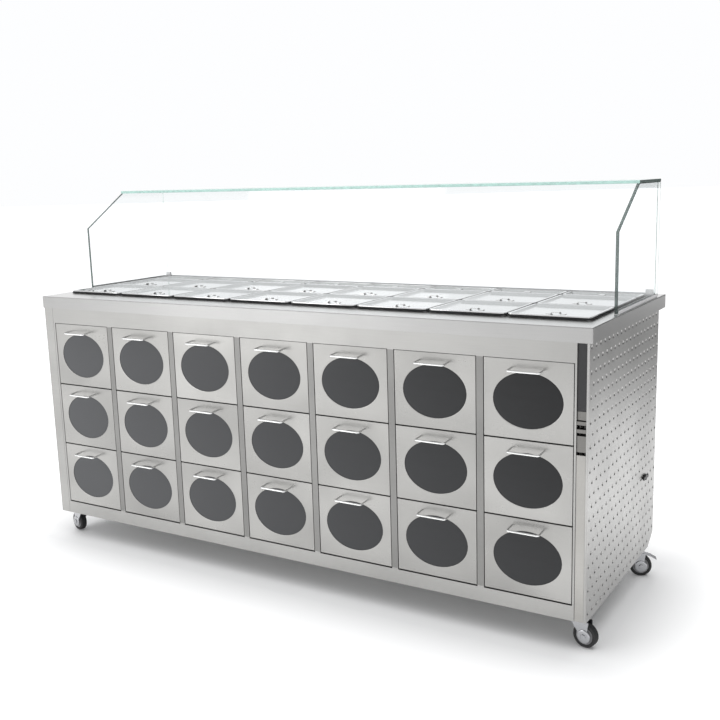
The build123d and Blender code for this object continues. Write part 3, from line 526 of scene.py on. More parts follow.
STAYS = {
    "counter_top": (deck_steel, 0.0),
    "pan_support_bars": (bar_steel, 0.0008),
    "water_well": (well_steel, 0.0),
    "heating_elements": (element_steel, 0.0),
    "guard_channels": (aluminium, 0.0004),
    "face_frame": (frame_steel, 0.0005),
    "corner_slot_fittings": (fitting_steel, 0.0008),
    "back_panel": (cabinet_steel, 0.0),
    "floor_panel": (inner_steel, 0.0),
    "base_frame": (inner_steel, 0.001),
    "divider_panels": (inner_steel, 0.0),
    "drawer_rails": (inner_steel, 0.0005),
    "thermostat_knob": (black_plastic, 0.0006),
    "drain_pipe": (brass, 0.0),
    "drain_handle": (black_plastic, 0.0008),
    "caster_plates": (zinc, 0.0006),
    "panel_screws": (screw_steel, 0.0),
}
for node, (material, edge) in STAYS.items():
    finish_node(node, material, edge)
for name in nodes:
    if name.startswith(("caster_fork", "brake_pedal")):
        finish_node(name, zinc, 0.0005)

# ---------------------------------------------------------------- drawers

WINDOW_HALF = (0.108, 0.0835)
WINDOW_DROP = 1.5 * MM
SHEET = 1.5 * MM
FRONT_WIDTH = 275.0 * MM
FRONT_TRIM = 0.6 * MM
FRONT_GAP = 1 * MM
FOLD = 16 * MM
TRAY_HALF = 125 * MM
TRAY_FRONT = 2.2 * MM
TRAY_BACK = 558 * MM
TRAY_LIFT = 8 * MM
TRAY_HEIGHT = 178 * MM
TRAY_HEM = 6 * MM
RAIL_DROP = 90 * MM
BAR_START = 32 * MM
BAR_NEAR = TRAY_HALF + 0.05 * MM
BAR_FAR = 138.4 * MM
BAR_HEIGHTS = (2.5 * MM, 17.5 * MM)
WINDOW_RIM = ((5.0, 4.2), (5.0, 2.2), (4.6, 1.75), (0.8, 1.7), (-1.0, 1.65))
WINDOW_BOW = 0.35 * MM
WINDOW_RINGS = 6
WINDOW_STEPS = 96
PULL_RADIUS = 3.3 * MM
PULL_HALF = 53 * MM
PULL_DROP = 27 * MM
PULL_SAG = 3 * MM
PULL_BEND = 6.5 * MM
# Drawer body slots: the dark fold is painted shade for the gap lines round each front and inside the window
# lip; the pale inside is painted light on the tray and the front's back faces.
SHADED_FOLD, PALE_INSIDE = 1, 2
FOLD_RINGS = 3
LIP_RINGS = (11, 12)


def oval(half_x, half_z, y, shape):
    """Ellipse points in the XZ plane that face the points of a given outline."""
    ring = []
    for x, z in shape:
        k = ((x / half_x) ** 2 + (z / half_z) ** 2) ** 0.5
        ring.append((x / k, y, z / k))
    return ring


def dense_rectangle(width, height, radius, steps=5, spans=14):
    """A rounded rectangle with points along its straight sides too."""
    corners = rounded_rectangle(width, height, radius, steps)
    points = []
    for i, (x, z) in enumerate(corners):
        nx, nz = corners[(i + 1) % len(corners)]
        points.append((x, z))
        if ((nx - x) ** 2 + (nz - z) ** 2) ** 0.5 > 4 * radius:
            for k in range(1, spans):
                points.append((x + (nx - x) * k / spans, z + (nz - z) * k / spans))
    return points


def drawer_front(bm, height):
    """The folded front: eased edges, a turned-back flange, and an oval hole with a rolled lip."""
    outline = dense_rectangle(FRONT_WIDTH, height, 1.6 * MM)

    def rect(inset, y):
        return [(x * (1 - 2 * inset / FRONT_WIDTH), y, z * (1 - 2 * inset / height)) for x, z in outline]

    centred = [(x, z + WINDOW_DROP) for x, z in outline]

    def hole(grow, y):
        ring = oval(WINDOW_HALF[0] + grow, WINDOW_HALF[1] + grow, y, centred)
        return [(x, y, z - WINDOW_DROP) for x, y, z in ring]

    rings = [
        rect(SHEET, FOLD),
        rect(0.2 * MM, FOLD),
        rect(0, FOLD - 0.3 * MM),
        rect(0, 1.0 * MM),
        rect(0.1 * MM, 0.5 * MM),
        rect(0.4 * MM, 0.15 * MM),
        rect(0.9 * MM, 0),
        rect(1.8 * MM, 0),
        hole(4.5 * MM, 0),
        hole(3.0 * MM, 0),
        hole(1.2 * MM, 0.05 * MM),
        hole(0.4 * MM, 0.35 * MM),
        hole(0.0, 1.0 * MM),
        hole(0.0, 1.5 * MM),
        hole(4.0 * MM, 1.5 * MM),
        rect(SHEET, 1.5 * MM),
    ]
    loops = [[bm.verts.new(p) for p in ring] for ring in rings]
    # Painted shade on the faces of the turned-back flange and the window lip's inner wall; painted light on
    # the front's back faces.
    for k, (a, b) in enumerate(zip(loops, loops[1:] + loops[:1])):
        for face in bridge(bm, a, b):
            if k < FOLD_RINGS or k in LIP_RINGS:
                face.material_index = SHADED_FOLD
            elif k >= len(loops) - 2:
                face.material_index = PALE_INSIDE


def tray(bm, height):
    """A folded tray with hemmed top edges, and the bars that run in the drawer rails."""
    floor = -height / 2 + TRAY_LIFT
    top = floor + TRAY_HEIGHT

    def wall(x):
        inner = x - SHEET if x > 0 else x + SHEET
        solid_box(bm, (min(x, inner), TRAY_FRONT, floor), (max(x, inner), TRAY_BACK, top), 0.4 * MM)
        roll = x - TRAY_HEM if x > 0 else x + TRAY_HEM
        solid_box(bm, (min(x, roll), TRAY_FRONT, top - 1.2 * MM), (max(x, roll), TRAY_BACK, top), 0.5 * MM)

    wall(-TRAY_HALF)
    solid_box(bm, (-TRAY_HALF, TRAY_BACK - SHEET, floor), (TRAY_HALF, TRAY_BACK, top), 0.4 * MM)
    wall(TRAY_HALF)
    solid_box(bm, (-TRAY_HALF, TRAY_FRONT, floor), (TRAY_HALF, TRAY_BACK, floor + SHEET), 0.4 * MM)
    low, high = [height / 2 + FRONT_GAP - RAIL_DROP + rise for rise in BAR_HEIGHTS]
    for side in (-1, 1):
        left, right = sorted((side * BAR_NEAR, side * BAR_FAR))
        solid_box(bm, (left, BAR_START, low), (right, TRAY_BACK, high), 1.2 * MM, 2)


def drawer_window(bm):
    """A thin oval plate, slightly bowed, set behind the hole; its rim is (growth, depth) pairs in mm."""
    rings = []

    def ring(half_x, half_z, y):
        rings.append([(half_x * cos(a), y, half_z * sin(a) - WINDOW_DROP) for a in around(WINDOW_STEPS)])

    for grow, y in WINDOW_RIM:
        ring(WINDOW_HALF[0] + grow * MM, WINDOW_HALF[1] + grow * MM, y * MM)
    inner, face = WINDOW_RIM[-1]
    half_x, half_z = [half + inner * MM for half in WINDOW_HALF]
    for k in range(WINDOW_RINGS - 1, -1, -1):
        share = k / WINDOW_RINGS
        bow = -WINDOW_BOW * (1 - share ** 2)
        share = max(share, 0.02)
        ring(half_x * share, half_z * share, face * MM + bow)
    loft(bm, rings)


def drawer_meshes():
    """The three meshes that every drawer shares, about the middle of its front face."""
    low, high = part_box("drawer_1_a")
    height = high.z - low.z - FRONT_TRIM
    meshes = {}

    bm = bmesh.new()
    drawer_front(bm, height)
    front_faces = set(bm.faces)
    tray(bm, height)
    # Painted light: the tray takes the pale inside steel.
    for face in bm.faces:
        if face not in front_faces:
            face.material_index = PALE_INSIDE
    meshes["body"] = mesh_of("drawer_body", bm, [drawer_steel, fold_painted_shade, tray_steel])

    bm = bmesh.new()
    drawer_window(bm)
    meshes["window"] = mesh_of("drawer_window", bm, [window_smoke])

    bm = bmesh.new()
    front = low.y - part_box("face_frame")[0].y + PULL_RADIUS
    z = height / 2 + FRONT_GAP - PULL_DROP
    half = PULL_HALF - PULL_RADIUS
    low_z = z - PULL_SAG
    corners = [(-half, 1.2 * MM, z), (-half, front, low_z), (half, front, low_z), (half, 1.2 * MM, z)]
    tube(bm, bent_path(corners, PULL_BEND), PULL_RADIUS, sides=16)
    meshes["pull"] = mesh_of("drawer_pull", bm, [pull_steel])
    for mesh in meshes.values():
        smooth_below(mesh, 35)
    return meshes


COLUMNS = 7
# Painted shade: the stiles' colour is scaled by this.
STILE_SHADE = 0.62


def shade_the_stiles():
    """Painted shade on the narrow stiles between the drawer columns makes them darker than the fronts."""
    first_low, first_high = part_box("drawer_1_a")
    last_low, last_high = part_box("drawer_7_c")
    first = (first_low.x + first_high.x) / 2
    last = (last_low.x + last_high.x) / 2
    half = (first_high.x - first_low.x) / 2
    shade_between(frame_steel, first, last, COLUMNS, half, last_low.z, first_high.z, STILE_SHADE)


shade_the_stiles()


def build_drawers():
    """Each drawer's front and tray, window and pull, on the drawer's own body."""
    meshes = drawer_meshes()
    face_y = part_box("face_frame")[0].y
    for name in sorted(n for n in nodes if n.startswith("drawer_") and n != "drawer_rails"):
        low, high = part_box(name)
        for part, mesh in meshes.items():
            obj = bpy.data.objects.new(f"{name}_{part}", mesh)
            bpy.context.scene.collection.objects.link(obj)
            obj.location = ((low.x + high.x) / 2, face_y, (low.z + high.z) / 2)
            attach(obj, name)
            if part == "body":
                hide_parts(name)


build_drawers()

# ---------------------------------------------------------------- pans and lids

PAN_COUNT = 8
PAN_PITCH = 265 * MM
PAN_WIDTH = 262 * MM
PAN_CORNER = 14 * MM
LID_WIDTH = 259 * MM
LID_CORNER = 15 * MM


def row_places(row):
    """The middle of each pan in a row, and the depth of the row."""
    low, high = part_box(f"pans_{row}_row")
    middle = (low.y + high.y) / 2
    return [((k - (PAN_COUNT - 1) / 2) * PAN_PITCH, middle, high.y - low.y) for k in range(PAN_COUNT)]


def in_metres(pairs):
    return [(a * MM, b * MM) for a, b in pairs]


PAN_PROFILE = [
    (11.8, 1.0), (5.0, 0.9), (0.6, 0.8), (0.0, 1.3), (0.4, 1.9), (2.0, 2.0), (9.5, 2.0), (11.2, 1.4),
    (12.2, 0.0), (12.6, -3.0), (14.5, -56.0), (16.5, -61.0), (22.0, -63.6), (30.0, -63.8),
]
PAN_BACK = [(31.0, -65.0), (21.0, -64.8), (15.0, -62.0), (13.2, -56.0), (11.4, -3.0), (11.2, -1.0)]


def build_pans(row):
    """One row of drawn pans with a rolled flange, drafted walls and round corners."""
    bm = bmesh.new()
    z0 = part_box("counter_top")[1].z
    for cx, cy, depth in row_places(row):
        loft(bm, tray_rings(cx, cy, PAN_WIDTH, depth, PAN_CORNER, in_metres(PAN_BACK + PAN_PROFILE), z0))
    piece(f"pans_{row}", bm, [pan_steel], f"pans_{row}", [f"pans_{row}_row"], angle=50)


LID_PROFILE = [
    (2.4, 5.9), (0.5, 6.0), (0.0, 6.4), (0.0, 8.1), (0.3, 8.7), (1.0, 9.0), (7.6, 9.0), (8.6, 8.8),
    (9.6, 8.2), (17.4, 3.3), (18.6, 2.8), (20.0, 2.7), (34.0, 2.7), (45.0, 2.85),
]
LID_UNDER = [(40.0, 1.5), (19.0, 1.5), (17.0, 2.2), (9.2, 7.2), (8.2, 7.6), (3.2, 7.6), (2.4, 7.0)]
LID_RIM_WIDTH = 9
SMALL_LID_DEPTH = 110 * MM
# A black band under each lid's rim, from (inset, height) pairs in mm: painted shade for the dark line below
# the lid's edge.
LID_SHADE_BAND = [
    (5.6, 0.0), (-2.0, 0.0), (-2.4, 0.4), (-2.4, 1.4), (-1.8, 2.0), (0.3, 2.6), (0.3, 6.0), (2.6, 6.1),
    (2.6, 7.2), (5.6, 7.4),
]


def lid_grip(bm, cx, cy, z):
    """A low strap handle, spot welded to the dish."""
    half = 30 * MM
    width = 7.5 * MM
    thick = 0.7 * MM
    top = 6.1 * MM
    right = [(half * 0.25, top), (half * 0.38, top - 0.9 * MM), (half * 0.5, 1.4 * MM),
             (half * 0.62, 0.75 * MM), (half, 0.7 * MM)]
    path = [(-x, h) for x, h in right[::-1]] + right
    rings = []
    for x, h in path:
        section = [(-width, -thick), (width, -thick), (width, thick), (-width, thick)]
        rings.append([(cx + x, cy + sy, z + h + sz) for sy, sz in section])
    loft(bm, rings)


def build_lids(row):
    """One row of lids with a raised border round a dished middle, their grips, and a black band under each
    rim as painted shade.
    """
    sheet = bmesh.new()
    grips = bmesh.new()
    shade_bands = bmesh.new()
    low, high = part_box(f"lids_{row}_row")
    depth = high.y - low.y
    shrink = min(1.0, depth / SMALL_LID_DEPTH)

    def fitted(profile):
        return [(i * (shrink if i > LID_RIM_WIDTH else 1), h) for i, h in profile]

    for cx, cy, _ in row_places(row):
        profile = in_metres(fitted(LID_UNDER) + fitted(LID_PROFILE))
        loft(sheet, tray_rings(cx, cy, LID_WIDTH, depth, LID_CORNER, profile, low.z))
        rings = tray_rings(cx, cy, LID_WIDTH, depth, LID_CORNER, in_metres(LID_SHADE_BAND), low.z)
        loops = [[shade_bands.verts.new(p) for p in ring] for ring in rings]
        for a, b in zip(loops, loops[1:] + loops[:1]):
            bridge(shade_bands, a, b)
        lid_grip(grips, cx, cy - 0.2 * depth, low.z + 2.7 * MM)
    piece(f"lids_{row}", sheet, [lid_steel], f"lids_{row}", [f"lids_{row}_row"], angle=50)
    piece(f"lid_grips_{row}", grips, [pull_steel], f"lids_{row}", angle=30)
    piece(f"lid_seals_{row}", shade_bands, [lid_shade_black], f"lids_{row}", angle=30)


for row in ("front", "middle", "back"):
    build_pans(row)
    build_lids(row)

# ---------------------------------------------------------------- side panels

DIMPLE_OUT = [(7.0, 0.0), (6.5, 0.12), (5.6, 0.75), (4.6, 1.9), (3.9, 2.7), (3.6, 3.3)]
DIMPLE_IN = [(3.8, 3.5), (4.9, 3.2), (6.2, 2.0), (7.0, 1.5)]
DIMPLE_RADIUS = 7.0 * MM
DIMPLE_STEPS = 14
DIMPLE_ROWS = 23
DIMPLE_COLUMNS = 18
ROW_PITCH = 36 * MM
COLUMN_PITCH = 40 * MM
FIRST_COLUMN = 17 * MM
EDGE_MARGIN = 12 * MM
DRAIN_CLEARANCE = 24 * MM
KICK_RUN = 62 * MM
KICK_RISE = 38 * MM
KICK_MARGIN = 1.35


def dimple_centres(low, high, drain):
    """Staggered places over the side sheet, clear of its edges, the kick and the drain."""
    places = []
    for row in range(DIMPLE_ROWS):
        z = high.z - EDGE_MARGIN - row * ROW_PITCH
        for column in range(DIMPLE_COLUMNS):
            y = low.y + FIRST_COLUMN + (column + row % 2 / 2) * COLUMN_PITCH
            kick = (z - low.z) / KICK_RISE + (high.y - y) / KICK_RUN
            clear = y < high.y - EDGE_MARGIN and z > low.z + EDGE_MARGIN and kick > KICK_MARGIN
            off_drain = drain is None or (Vector((y, z)) - drain).length > DRAIN_CLEARANCE
            if clear and off_drain:
                places.append((y, z))
    return places


def filled_outline(outline, circles):
    """Triangles that fill an outline around round holes, as a mesh in a plane."""
    curve = bpy.data.curves.new("outline", "CURVE")
    curve.dimensions = "2D"
    curve.fill_mode = "BOTH"
    rings = [outline]
    for cy, cz in circles:
        turns = around(DIMPLE_STEPS)
        rings.append([(cy + DIMPLE_RADIUS * cos(a), cz + DIMPLE_RADIUS * sin(a)) for a in turns])
    for ring in rings:
        spline = curve.splines.new("POLY")
        spline.points.add(len(ring) - 1)
        for point, (y, z) in zip(spline.points, ring):
            point.co = (y, z, 0, 1)
        spline.use_cyclic_u = True
    obj = bpy.data.objects.new("outline", curve)
    mesh = bpy.data.meshes.new_from_object(obj)
    bpy.data.objects.remove(obj)
    bpy.data.curves.remove(curve)
    return mesh


def build_side_panel(side):
    """A side sheet pressed with dimpled holes; the right one is folded in at its front edge."""
    node = f"side_panel_{side}"
    low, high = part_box(node)
    out = 1 if side == "right" else -1
    face_x = high.x if side == "right" else low.x
    drain = None
    if side == "right":
        drain_low, drain_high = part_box("drain_handle")
        drain = ((drain_low + drain_high) / 2).yz
    outline = [(low.y, low.z), (high.y - KICK_RUN, low.z), (high.y, low.z + KICK_RISE), (high.y, high.z),
               (low.y, high.z)]
    places = dimple_centres(low, high, drain)
    flat = filled_outline(outline, places)
    bm = bmesh.new()
    for depth in (0.0, SHEET):
        made = [bm.verts.new((face_x - out * depth, v.co.x, v.co.y)) for v in flat.vertices]
        for polygon in flat.polygons:
            bm.faces.new([made[i] for i in polygon.vertices])
    bpy.data.meshes.remove(flat)
    edge = [[bm.verts.new((face_x - out * depth, y, z)) for y, z in outline] for depth in (0.0, SHEET)]
    bridge(bm, *edge)
    for y, z in places:
        rings = []
        for radius, depth in in_metres(DIMPLE_OUT + DIMPLE_IN):
            x = face_x - out * depth
            rings.append([(x, y + radius * cos(a), z + radius * sin(a)) for a in around(DIMPLE_STEPS)])
        loft(bm, rings, capped=False)
    bmesh.ops.remove_doubles(bm, verts=bm.verts, dist=SHEET_SEAM)
    if side == "right":
        solid_box(bm, (low.x, low.y, low.z), (high.x - SHEET, low.y + SHEET, high.z), 0.3 * MM)
    piece(node + "_sheet", bm, [side_steel], "cabinet", [node], angle=8)


for side in ("left", "right"):
    build_side_panel(side)

# ---------------------------------------------------------------- casters

HALF_TYRE = [
    (3.2, 37.5), (3.5, 36.9), (4.1, 36.9), (4.4, 37.5), (7.0, 37.5), (9.4, 37.2), (11.2, 35.9), (12.0, 33.6),
    (12.0, 29.0), (11.0, 27.4), (8.6, 27.0),
]
HALF_HUB = [
    (9.0, 27.2), (10.6, 26.6), (9.6, 24.0), (8.2, 22.5), (8.8, 11.5), (11.4, 10.5), (12.4, 9.5), (12.4, 4.1),
]
GUARD_DISC = [(15.6, 21.0), (16.3, 21.4), (17.6, 20.2), (18.2, 17.6), (18.4, 12.0), (18.4, 0.0)]
BOLT = [(18.2, 8.0), (20.6, 8.0), (21.4, 6.8), (21.6, 0.0)]


def both_halves(profile):
    """A profile along an axis, mirrored about its middle and run from the far end to the near one."""
    return [(-along, radius) for along, radius in profile[::-1]] + profile


def build_caster(corner):
    """A tyre on its hub, and the fork's round cheeks with the axle bolt."""
    wheel = joints[f"wheel_{corner}"]
    centre = Vector(wheel["pos_m"])
    axis = Vector(wheel["axis"])
    bm = bmesh.new()
    tyre = both_halves(HALF_TYRE)
    revolve(bm, tyre + tyre[:1], centre, axis, 56)
    bmesh.ops.remove_doubles(bm, verts=bm.verts, dist=SEAM)
    piece(f"tyre_{corner}", bm, [tyre_rubber], f"wheel_{corner}", [f"caster_wheel_{corner}"])
    bm = bmesh.new()
    revolve(bm, both_halves(HALF_HUB), centre, axis, 40)
    piece(f"hub_{corner}", bm, [hub_plastic], f"wheel_{corner}")
    bm = bmesh.new()
    for way in (-1, 1):
        revolve(bm, GUARD_DISC, centre, axis * way, 36)
        revolve(bm, BOLT, centre, axis * way, 6)
    piece(f"fork_cheeks_{corner}", bm, [zinc], f"swivel_{corner}")


for corner in ("front_left", "front_right", "back_left", "back_right"):
    build_caster(corner)

# ---------------------------------------------------------------- heat control


LAMP = [(-1.0, 0), (-1.0, 7.5), (1.2, 7.5), (1.8, 6.9), (1.8, 5.8), (3.4, 5.6), (4.4, 4.6), (4.9, 0)]
GLAND = [
    (-1.0, 9.0), (2.5, 9.0), (2.6, 7.6), (4.0, 7.6), (4.2, 9.0), (11.0, 8.8), (13.5, 7.6), (15.8, 6.2),
    (15.8, 4.6), (0.0, 4.5), (-1.0, 4.5),
]
HOUSING_FOOT = 16 * MM
LAMP_OFFSET = 70 * MM
GLAND_PLACE = (90 * MM, 17 * MM)
DIAL_PLATE = 24 * MM
DIAL_MARKS = 9
DIAL_MARK_RADIUS = 22 * MM


def build_control():
    """The heat control: a housing with a dial plate and its marks, a pilot lamp and a cable gland."""
    low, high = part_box("control_box")
    knob_low, knob_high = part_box("thermostat_knob")
    kx, kz = (knob_low.x + knob_high.x) / 2, (knob_low.z + knob_high.z) / 2
    foot = low.z + HOUSING_FOOT
    face = knob_low.y - 1 * MM
    bm = bmesh.new()
    solid_box(bm, (low.x, low.y, foot), (high.x, face, high.z), 3 * MM, 3)
    solid_box(bm, (kx - DIAL_PLATE, face - 1 * MM, kz - DIAL_PLATE),
              (kx + DIAL_PLATE, face + 0.6 * MM, kz + DIAL_PLATE), 0.4 * MM)
    for k in range(DIAL_MARKS):
        a = radians(-225 + 270 * k / (DIAL_MARKS - 1))
        x, z = kx + DIAL_MARK_RADIUS * cos(a), kz - DIAL_MARK_RADIUS * sin(a)
        half = 0.7 * MM
        solid_box(bm, (x - half, face, z - half), (x + half, face + 0.9 * MM, z + half), 0.2 * MM)
    piece("control_housing", bm, [control_paint], "cabinet", ["control_box"], angle=40)
    bm = bmesh.new()
    revolve(bm, LAMP, (kx + LAMP_OFFSET, face, kz), (0, 1, 0), 32)
    piece("pilot_lamp", bm, [lamp_lens], "cabinet")
    bm = bmesh.new()
    gland = (low.x + GLAND_PLACE[0], low.y + GLAND_PLACE[1], foot)
    revolve(bm, GLAND + GLAND[:1], gland, (0, 0, -1), 24)
    bmesh.ops.remove_doubles(bm, verts=bm.verts, dist=SEAM)
    piece("cable_gland", bm, [black_plastic], "cabinet")


build_control()

# ---------------------------------------------------------------- corner slot


def build_slot_shade_sheet():
    """A dark flat sheet behind the open corner slot, above its fittings: painted shade for the dark inside of
    the slot.
    """
    frame_low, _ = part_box("face_frame")
    fit_low, fit_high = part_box("corner_slot_fittings")
    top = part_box("counter_top")[0].z
    near = frame_low.y + 4 * MM
    bm = bmesh.new()
    solid_box(bm, (fit_low.x, near, fit_high.z + 1 * MM), (fit_high.x, near + 2 * MM, top - 1 * MM), 0.4 * MM)
    piece("slot_backing", bm, [black_plastic], "cabinet")


build_slot_shade_sheet()

# ---------------------------------------------------------------- guard


GLASS = 10 * MM
GLASS_BEVEL = 1.2 * MM
KNEE_RISE = 243 * MM


def pane_mesh(outline, plane_axis, low, high, looks):
    """A glass plate pulled along plane_axis; looks gives the edge and chamfer material of each side."""
    bm = bmesh.new()
    others = [i for i in range(3) if i != plane_axis]

    def place(pair, along):
        p = [0, 0, 0]
        p[others[0]], p[others[1]] = pair
        p[plane_axis] = along
        return p

    def drawn_in(amount):
        result = []
        count = len(outline)
        for i in range(count):
            p = Vector(outline[i])
            a = (Vector(outline[i - 1]) - p).normalized()
            b = (Vector(outline[(i + 1) % count]) - p).normalized()
            half = a.angle(b) / 2
            q = p + (a + b).normalized() * amount / sin(half)
            result.append((q.x, q.y))
        return result

    rings = [
        [place(p, low) for p in drawn_in(GLASS_BEVEL)],
        [place(p, low + GLASS_BEVEL) for p in outline],
        [place(p, high - GLASS_BEVEL) for p in outline],
        [place(p, high) for p in drawn_in(GLASS_BEVEL)],
    ]
    faces = loft(bm, rings)
    count = len(outline)
    for k, face in enumerate(faces[:-2]):
        edge, chamfer = looks[k % count]
        face.material_index = edge if count <= k < 2 * count else chamfer
    return bm


def build_guard():
    """The clear guard: two cranked end panes, a back pane and a narrow top pane."""
    low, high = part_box("guard_end_panels")
    top_low, top_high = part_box("guard_top_panel")
    knee = low.z + KNEE_RISE
    outline = [(low.y, low.z), (high.y, low.z), (high.y, high.z), (top_low.y, high.z), (low.y, knee)]
    ends = {"left": (low.x, low.x + GLASS), "right": (high.x - GLASS, high.x)}
    # Painted highlight and shade: each side's rim and chamfer get a plain, shaded, lit or pale copy of the
    # one glass edge.
    soft = (FAINT, FAINT)
    dark = (EDGE, SHADED_RIM)
    looks = {
        "left": [soft, soft, soft, dark, dark],
        "right": [soft, (FAINT, SHADED_RIM), (SHADED_RIM, SHADED_RIM), dark, dark],
    }
    for k, (side, (x0, x1)) in enumerate(ends.items()):
        piece(f"guard_end_{side}", pane_mesh(outline, 0, x0, x1, looks[side]), PANE_PARTS, "cabinet",
              ["guard_end_panels"] if k == 0 else (), smooth=False)
    b_low, b_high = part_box("guard_back_panel")
    back = [(b_low.x, b_low.z), (b_high.x, b_low.z), (b_high.x, b_high.z), (b_low.x, b_high.z)]
    piece("guard_back", pane_mesh(back, 1, b_low.y, b_high.y, [soft] * 4), PANE_PARTS, "cabinet",
          ["guard_back_panel"], smooth=False)
    top = [(top_low.x, top_low.y), (top_high.x, top_low.y), (top_high.x, top_high.y), (top_low.x, top_high.y)]
    # Painted highlight on the top pane's front rim, painted shade on its right end; the rest pale.
    looks = [(LIT_RIM, LIT_RIM), (SHADED_RIM, SHADED_RIM), soft, soft]
    piece("guard_top", pane_mesh(top, 2, top_low.z, top_high.z, looks), PANE_PARTS, "cabinet",
          ["guard_top_panel"], smooth=False)


build_guard()

# ---------------------------------------------------------------- stage, light and camera


WORLD_FRONT = 0.76
WORLD_BACK = 1.0
WORLD_RIGHT = 0.07
WORLD_ABOVE = 0.74
# Painted shade: FLOOR_DIM darkens a patch of floor far behind the right end, which the right side panel
# reflects.
FLOOR_DIM = 0.15
FLOOR_DIM_PLACE = (3.9, 5.0, 0.0)
FLOOR_DIM_REACH = (1.6, 3.6)
FOOTPRINT = (1.1, 0.4, 0.0)
FLOOR_REACH = 60.0
FLOOR_DROP = 0.5 * MM
# Painted light: the floor's glow rises with distance from the footprint, so a painted shadow pool lies round
# the part.
GLOW_NEAR = (0.05, 0.44, 0.02, 0.38)
GLOW_FAR = (0.0, 0.20, 1.5, 6.0)


def build_floor():
    """A pale floor with a painted glow, weaker near the footprint as a painted shadow pool, and a dim patch
    far behind the part's right end as painted shade.
    """
    bm = bmesh.new()
    bmesh.ops.create_grid(bm, x_segments=8, y_segments=8, size=FLOOR_REACH)
    mesh = bpy.data.meshes.new("floor")
    bm.to_mesh(mesh)
    bm.free()
    floor = bpy.data.objects.new("floor", mesh)
    floor.location.z = -FLOOR_DROP
    bpy.context.scene.collection.objects.link(floor)
    material, tree, output = new_material("floor_paint")
    shader = principled(tree, output, Roughness=0.6)
    coords = tree.nodes.new("ShaderNodeTexCoord")
    away = tree.nodes.new("ShaderNodeVectorMath")
    away.operation = "DISTANCE"
    away.inputs[1].default_value = FLOOR_DIM_PLACE
    tree.links.new(coords.outputs["Object"], away.inputs[0])
    lit = ramp(tree, away.outputs["Value"], FLOOR_DIM, 1.0, *FLOOR_DIM_REACH)
    shade = tree.nodes.new("ShaderNodeMix")
    shade.data_type = "RGBA"
    shade.inputs[6].default_value = (0, 0, 0, 1)
    cloud = stretched_noise(tree, (1.5, 1.5, 1.5))
    tree.links.new(shade_of(tree, ramp(tree, cloud, 0.0, 1.0), (0.92, 0.922, 0.925), 0.01), shade.inputs[7])
    tree.links.new(lit, shade.inputs[0])
    tree.links.new(shade.outputs[2], shader.inputs["Base Color"])
    shader.inputs["Emission Color"].default_value = (1, 1, 1, 1)
    outside = coords.outputs["Object"]
    for operation, amount in (("ABSOLUTE", None), ("SUBTRACT", FOOTPRINT), ("MAXIMUM", (0.0, 0.0, 0.0))):
        step = tree.nodes.new("ShaderNodeVectorMath")
        step.operation = operation
        if amount:
            step.inputs[1].default_value = amount
        tree.links.new(outside, step.inputs[0])
        outside = step.outputs[0]
    reach = tree.nodes.new("ShaderNodeVectorMath")
    reach.operation = "LENGTH"
    tree.links.new(outside, reach.inputs[0])
    rises = [ramp(tree, reach.outputs["Value"], *rise) for rise in (GLOW_NEAR, GLOW_FAR)]
    glow = calculate(tree, "MULTIPLY", calculate(tree, "ADD", *rises), lit)
    tree.links.new(glow, shader.inputs["Emission Strength"])
    mesh.materials.append(material)


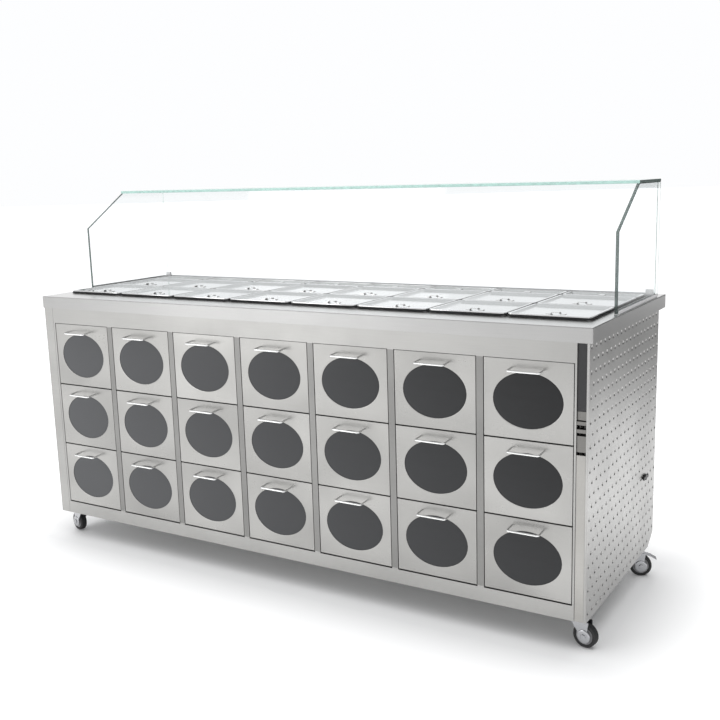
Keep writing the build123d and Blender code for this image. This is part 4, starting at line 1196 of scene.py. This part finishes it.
def build_world():
    """A pale sky, brighter behind the part than in front, and dimmer to the right and overhead."""
    world = bpy.data.worlds.new("studio")
    bpy.context.scene.world = world
    world.use_nodes = True
    tree = world.node_tree
    background = tree.nodes["Background"]
    coords = tree.nodes.new("ShaderNodeTexCoord")
    split = tree.nodes.new("ShaderNodeSeparateXYZ")
    tree.links.new(coords.outputs["Generated"], split.inputs[0])
    strength = ramp(tree, split.outputs["Y"], WORLD_FRONT, WORLD_BACK, -0.7, 0.35)
    beside = tree.nodes.new("ShaderNodeVectorMath")
    beside.operation = "DOT_PRODUCT"
    beside.inputs[1].default_value = (0.8, 0.6, 0.0)
    tree.links.new(coords.outputs["Generated"], beside.inputs[0])
    dimmed = (
        (beside.outputs["Value"], WORLD_RIGHT, 0.44, 0.68),
        (split.outputs["Z"], WORLD_ABOVE, 0.20, 0.55),
    )
    for source, value, start, end in dimmed:
        strength = calculate(tree, "MULTIPLY", strength, ramp(tree, source, 1.0, value, start, end))
    tree.links.new(strength, background.inputs["Strength"])
    background.inputs["Color"].default_value = (0.985, 0.99, 1.0, 1)


build_floor()
build_world()


def soft_light(name, place, target, size, power, mirrored=True):
    """A rectangular soft box aimed at a point."""
    data = bpy.data.lights.new(name, "AREA")
    data.shape = "RECTANGLE"
    data.size, data.size_y = size
    data.energy = power
    light = bpy.data.objects.new(name, data)
    light.location = place
    light.rotation_euler = (Vector(target) - Vector(place)).to_track_quat("-Z", "Y").to_euler()
    light.visible_glossy = mirrored
    bpy.context.scene.collection.objects.link(light)


soft_light("key", (-3.3, -4.8, 1.7), (0.0, -0.39, 0.7), (2.0, 3.2), 36)
soft_light("top", (0.2, -0.4, 4.6), (0, 0, 0.9), (8.0, 6.0), 215, mirrored=False)


CAMERA_PLACE = (1.9289, -2.9545, 1.4091)
CAMERA_ANGLES = (31.49, 10.84, -1.67)
CAMERA_LENS = 48.65


def build_camera():
    """A three-quarter view from the front right, a little above the deck and slightly rolled."""
    yaw, pitch, roll = [radians(angle) for angle in CAMERA_ANGLES]
    ahead = Vector((-sin(yaw) * cos(pitch), cos(yaw) * cos(pitch), -sin(pitch)))
    right = Vector((cos(yaw), sin(yaw), 0))
    up = right.cross(ahead)
    x_axis = cos(roll) * right + sin(roll) * up
    y_axis = -sin(roll) * right + cos(roll) * up
    data = bpy.data.cameras.new("camera")
    data.sensor_width = 36
    data.lens = CAMERA_LENS
    data.clip_start = 0.05
    data.clip_end = 60
    camera = bpy.data.objects.new("camera", data)
    bpy.context.scene.collection.objects.link(camera)
    turn = Matrix((x_axis, y_axis, -ahead)).transposed()
    camera.matrix_world = Matrix.Translation(CAMERA_PLACE) @ turn.to_4x4()
    bpy.context.scene.camera = camera


build_camera()
bpy.context.scene.view_settings.view_transform = "Standard"
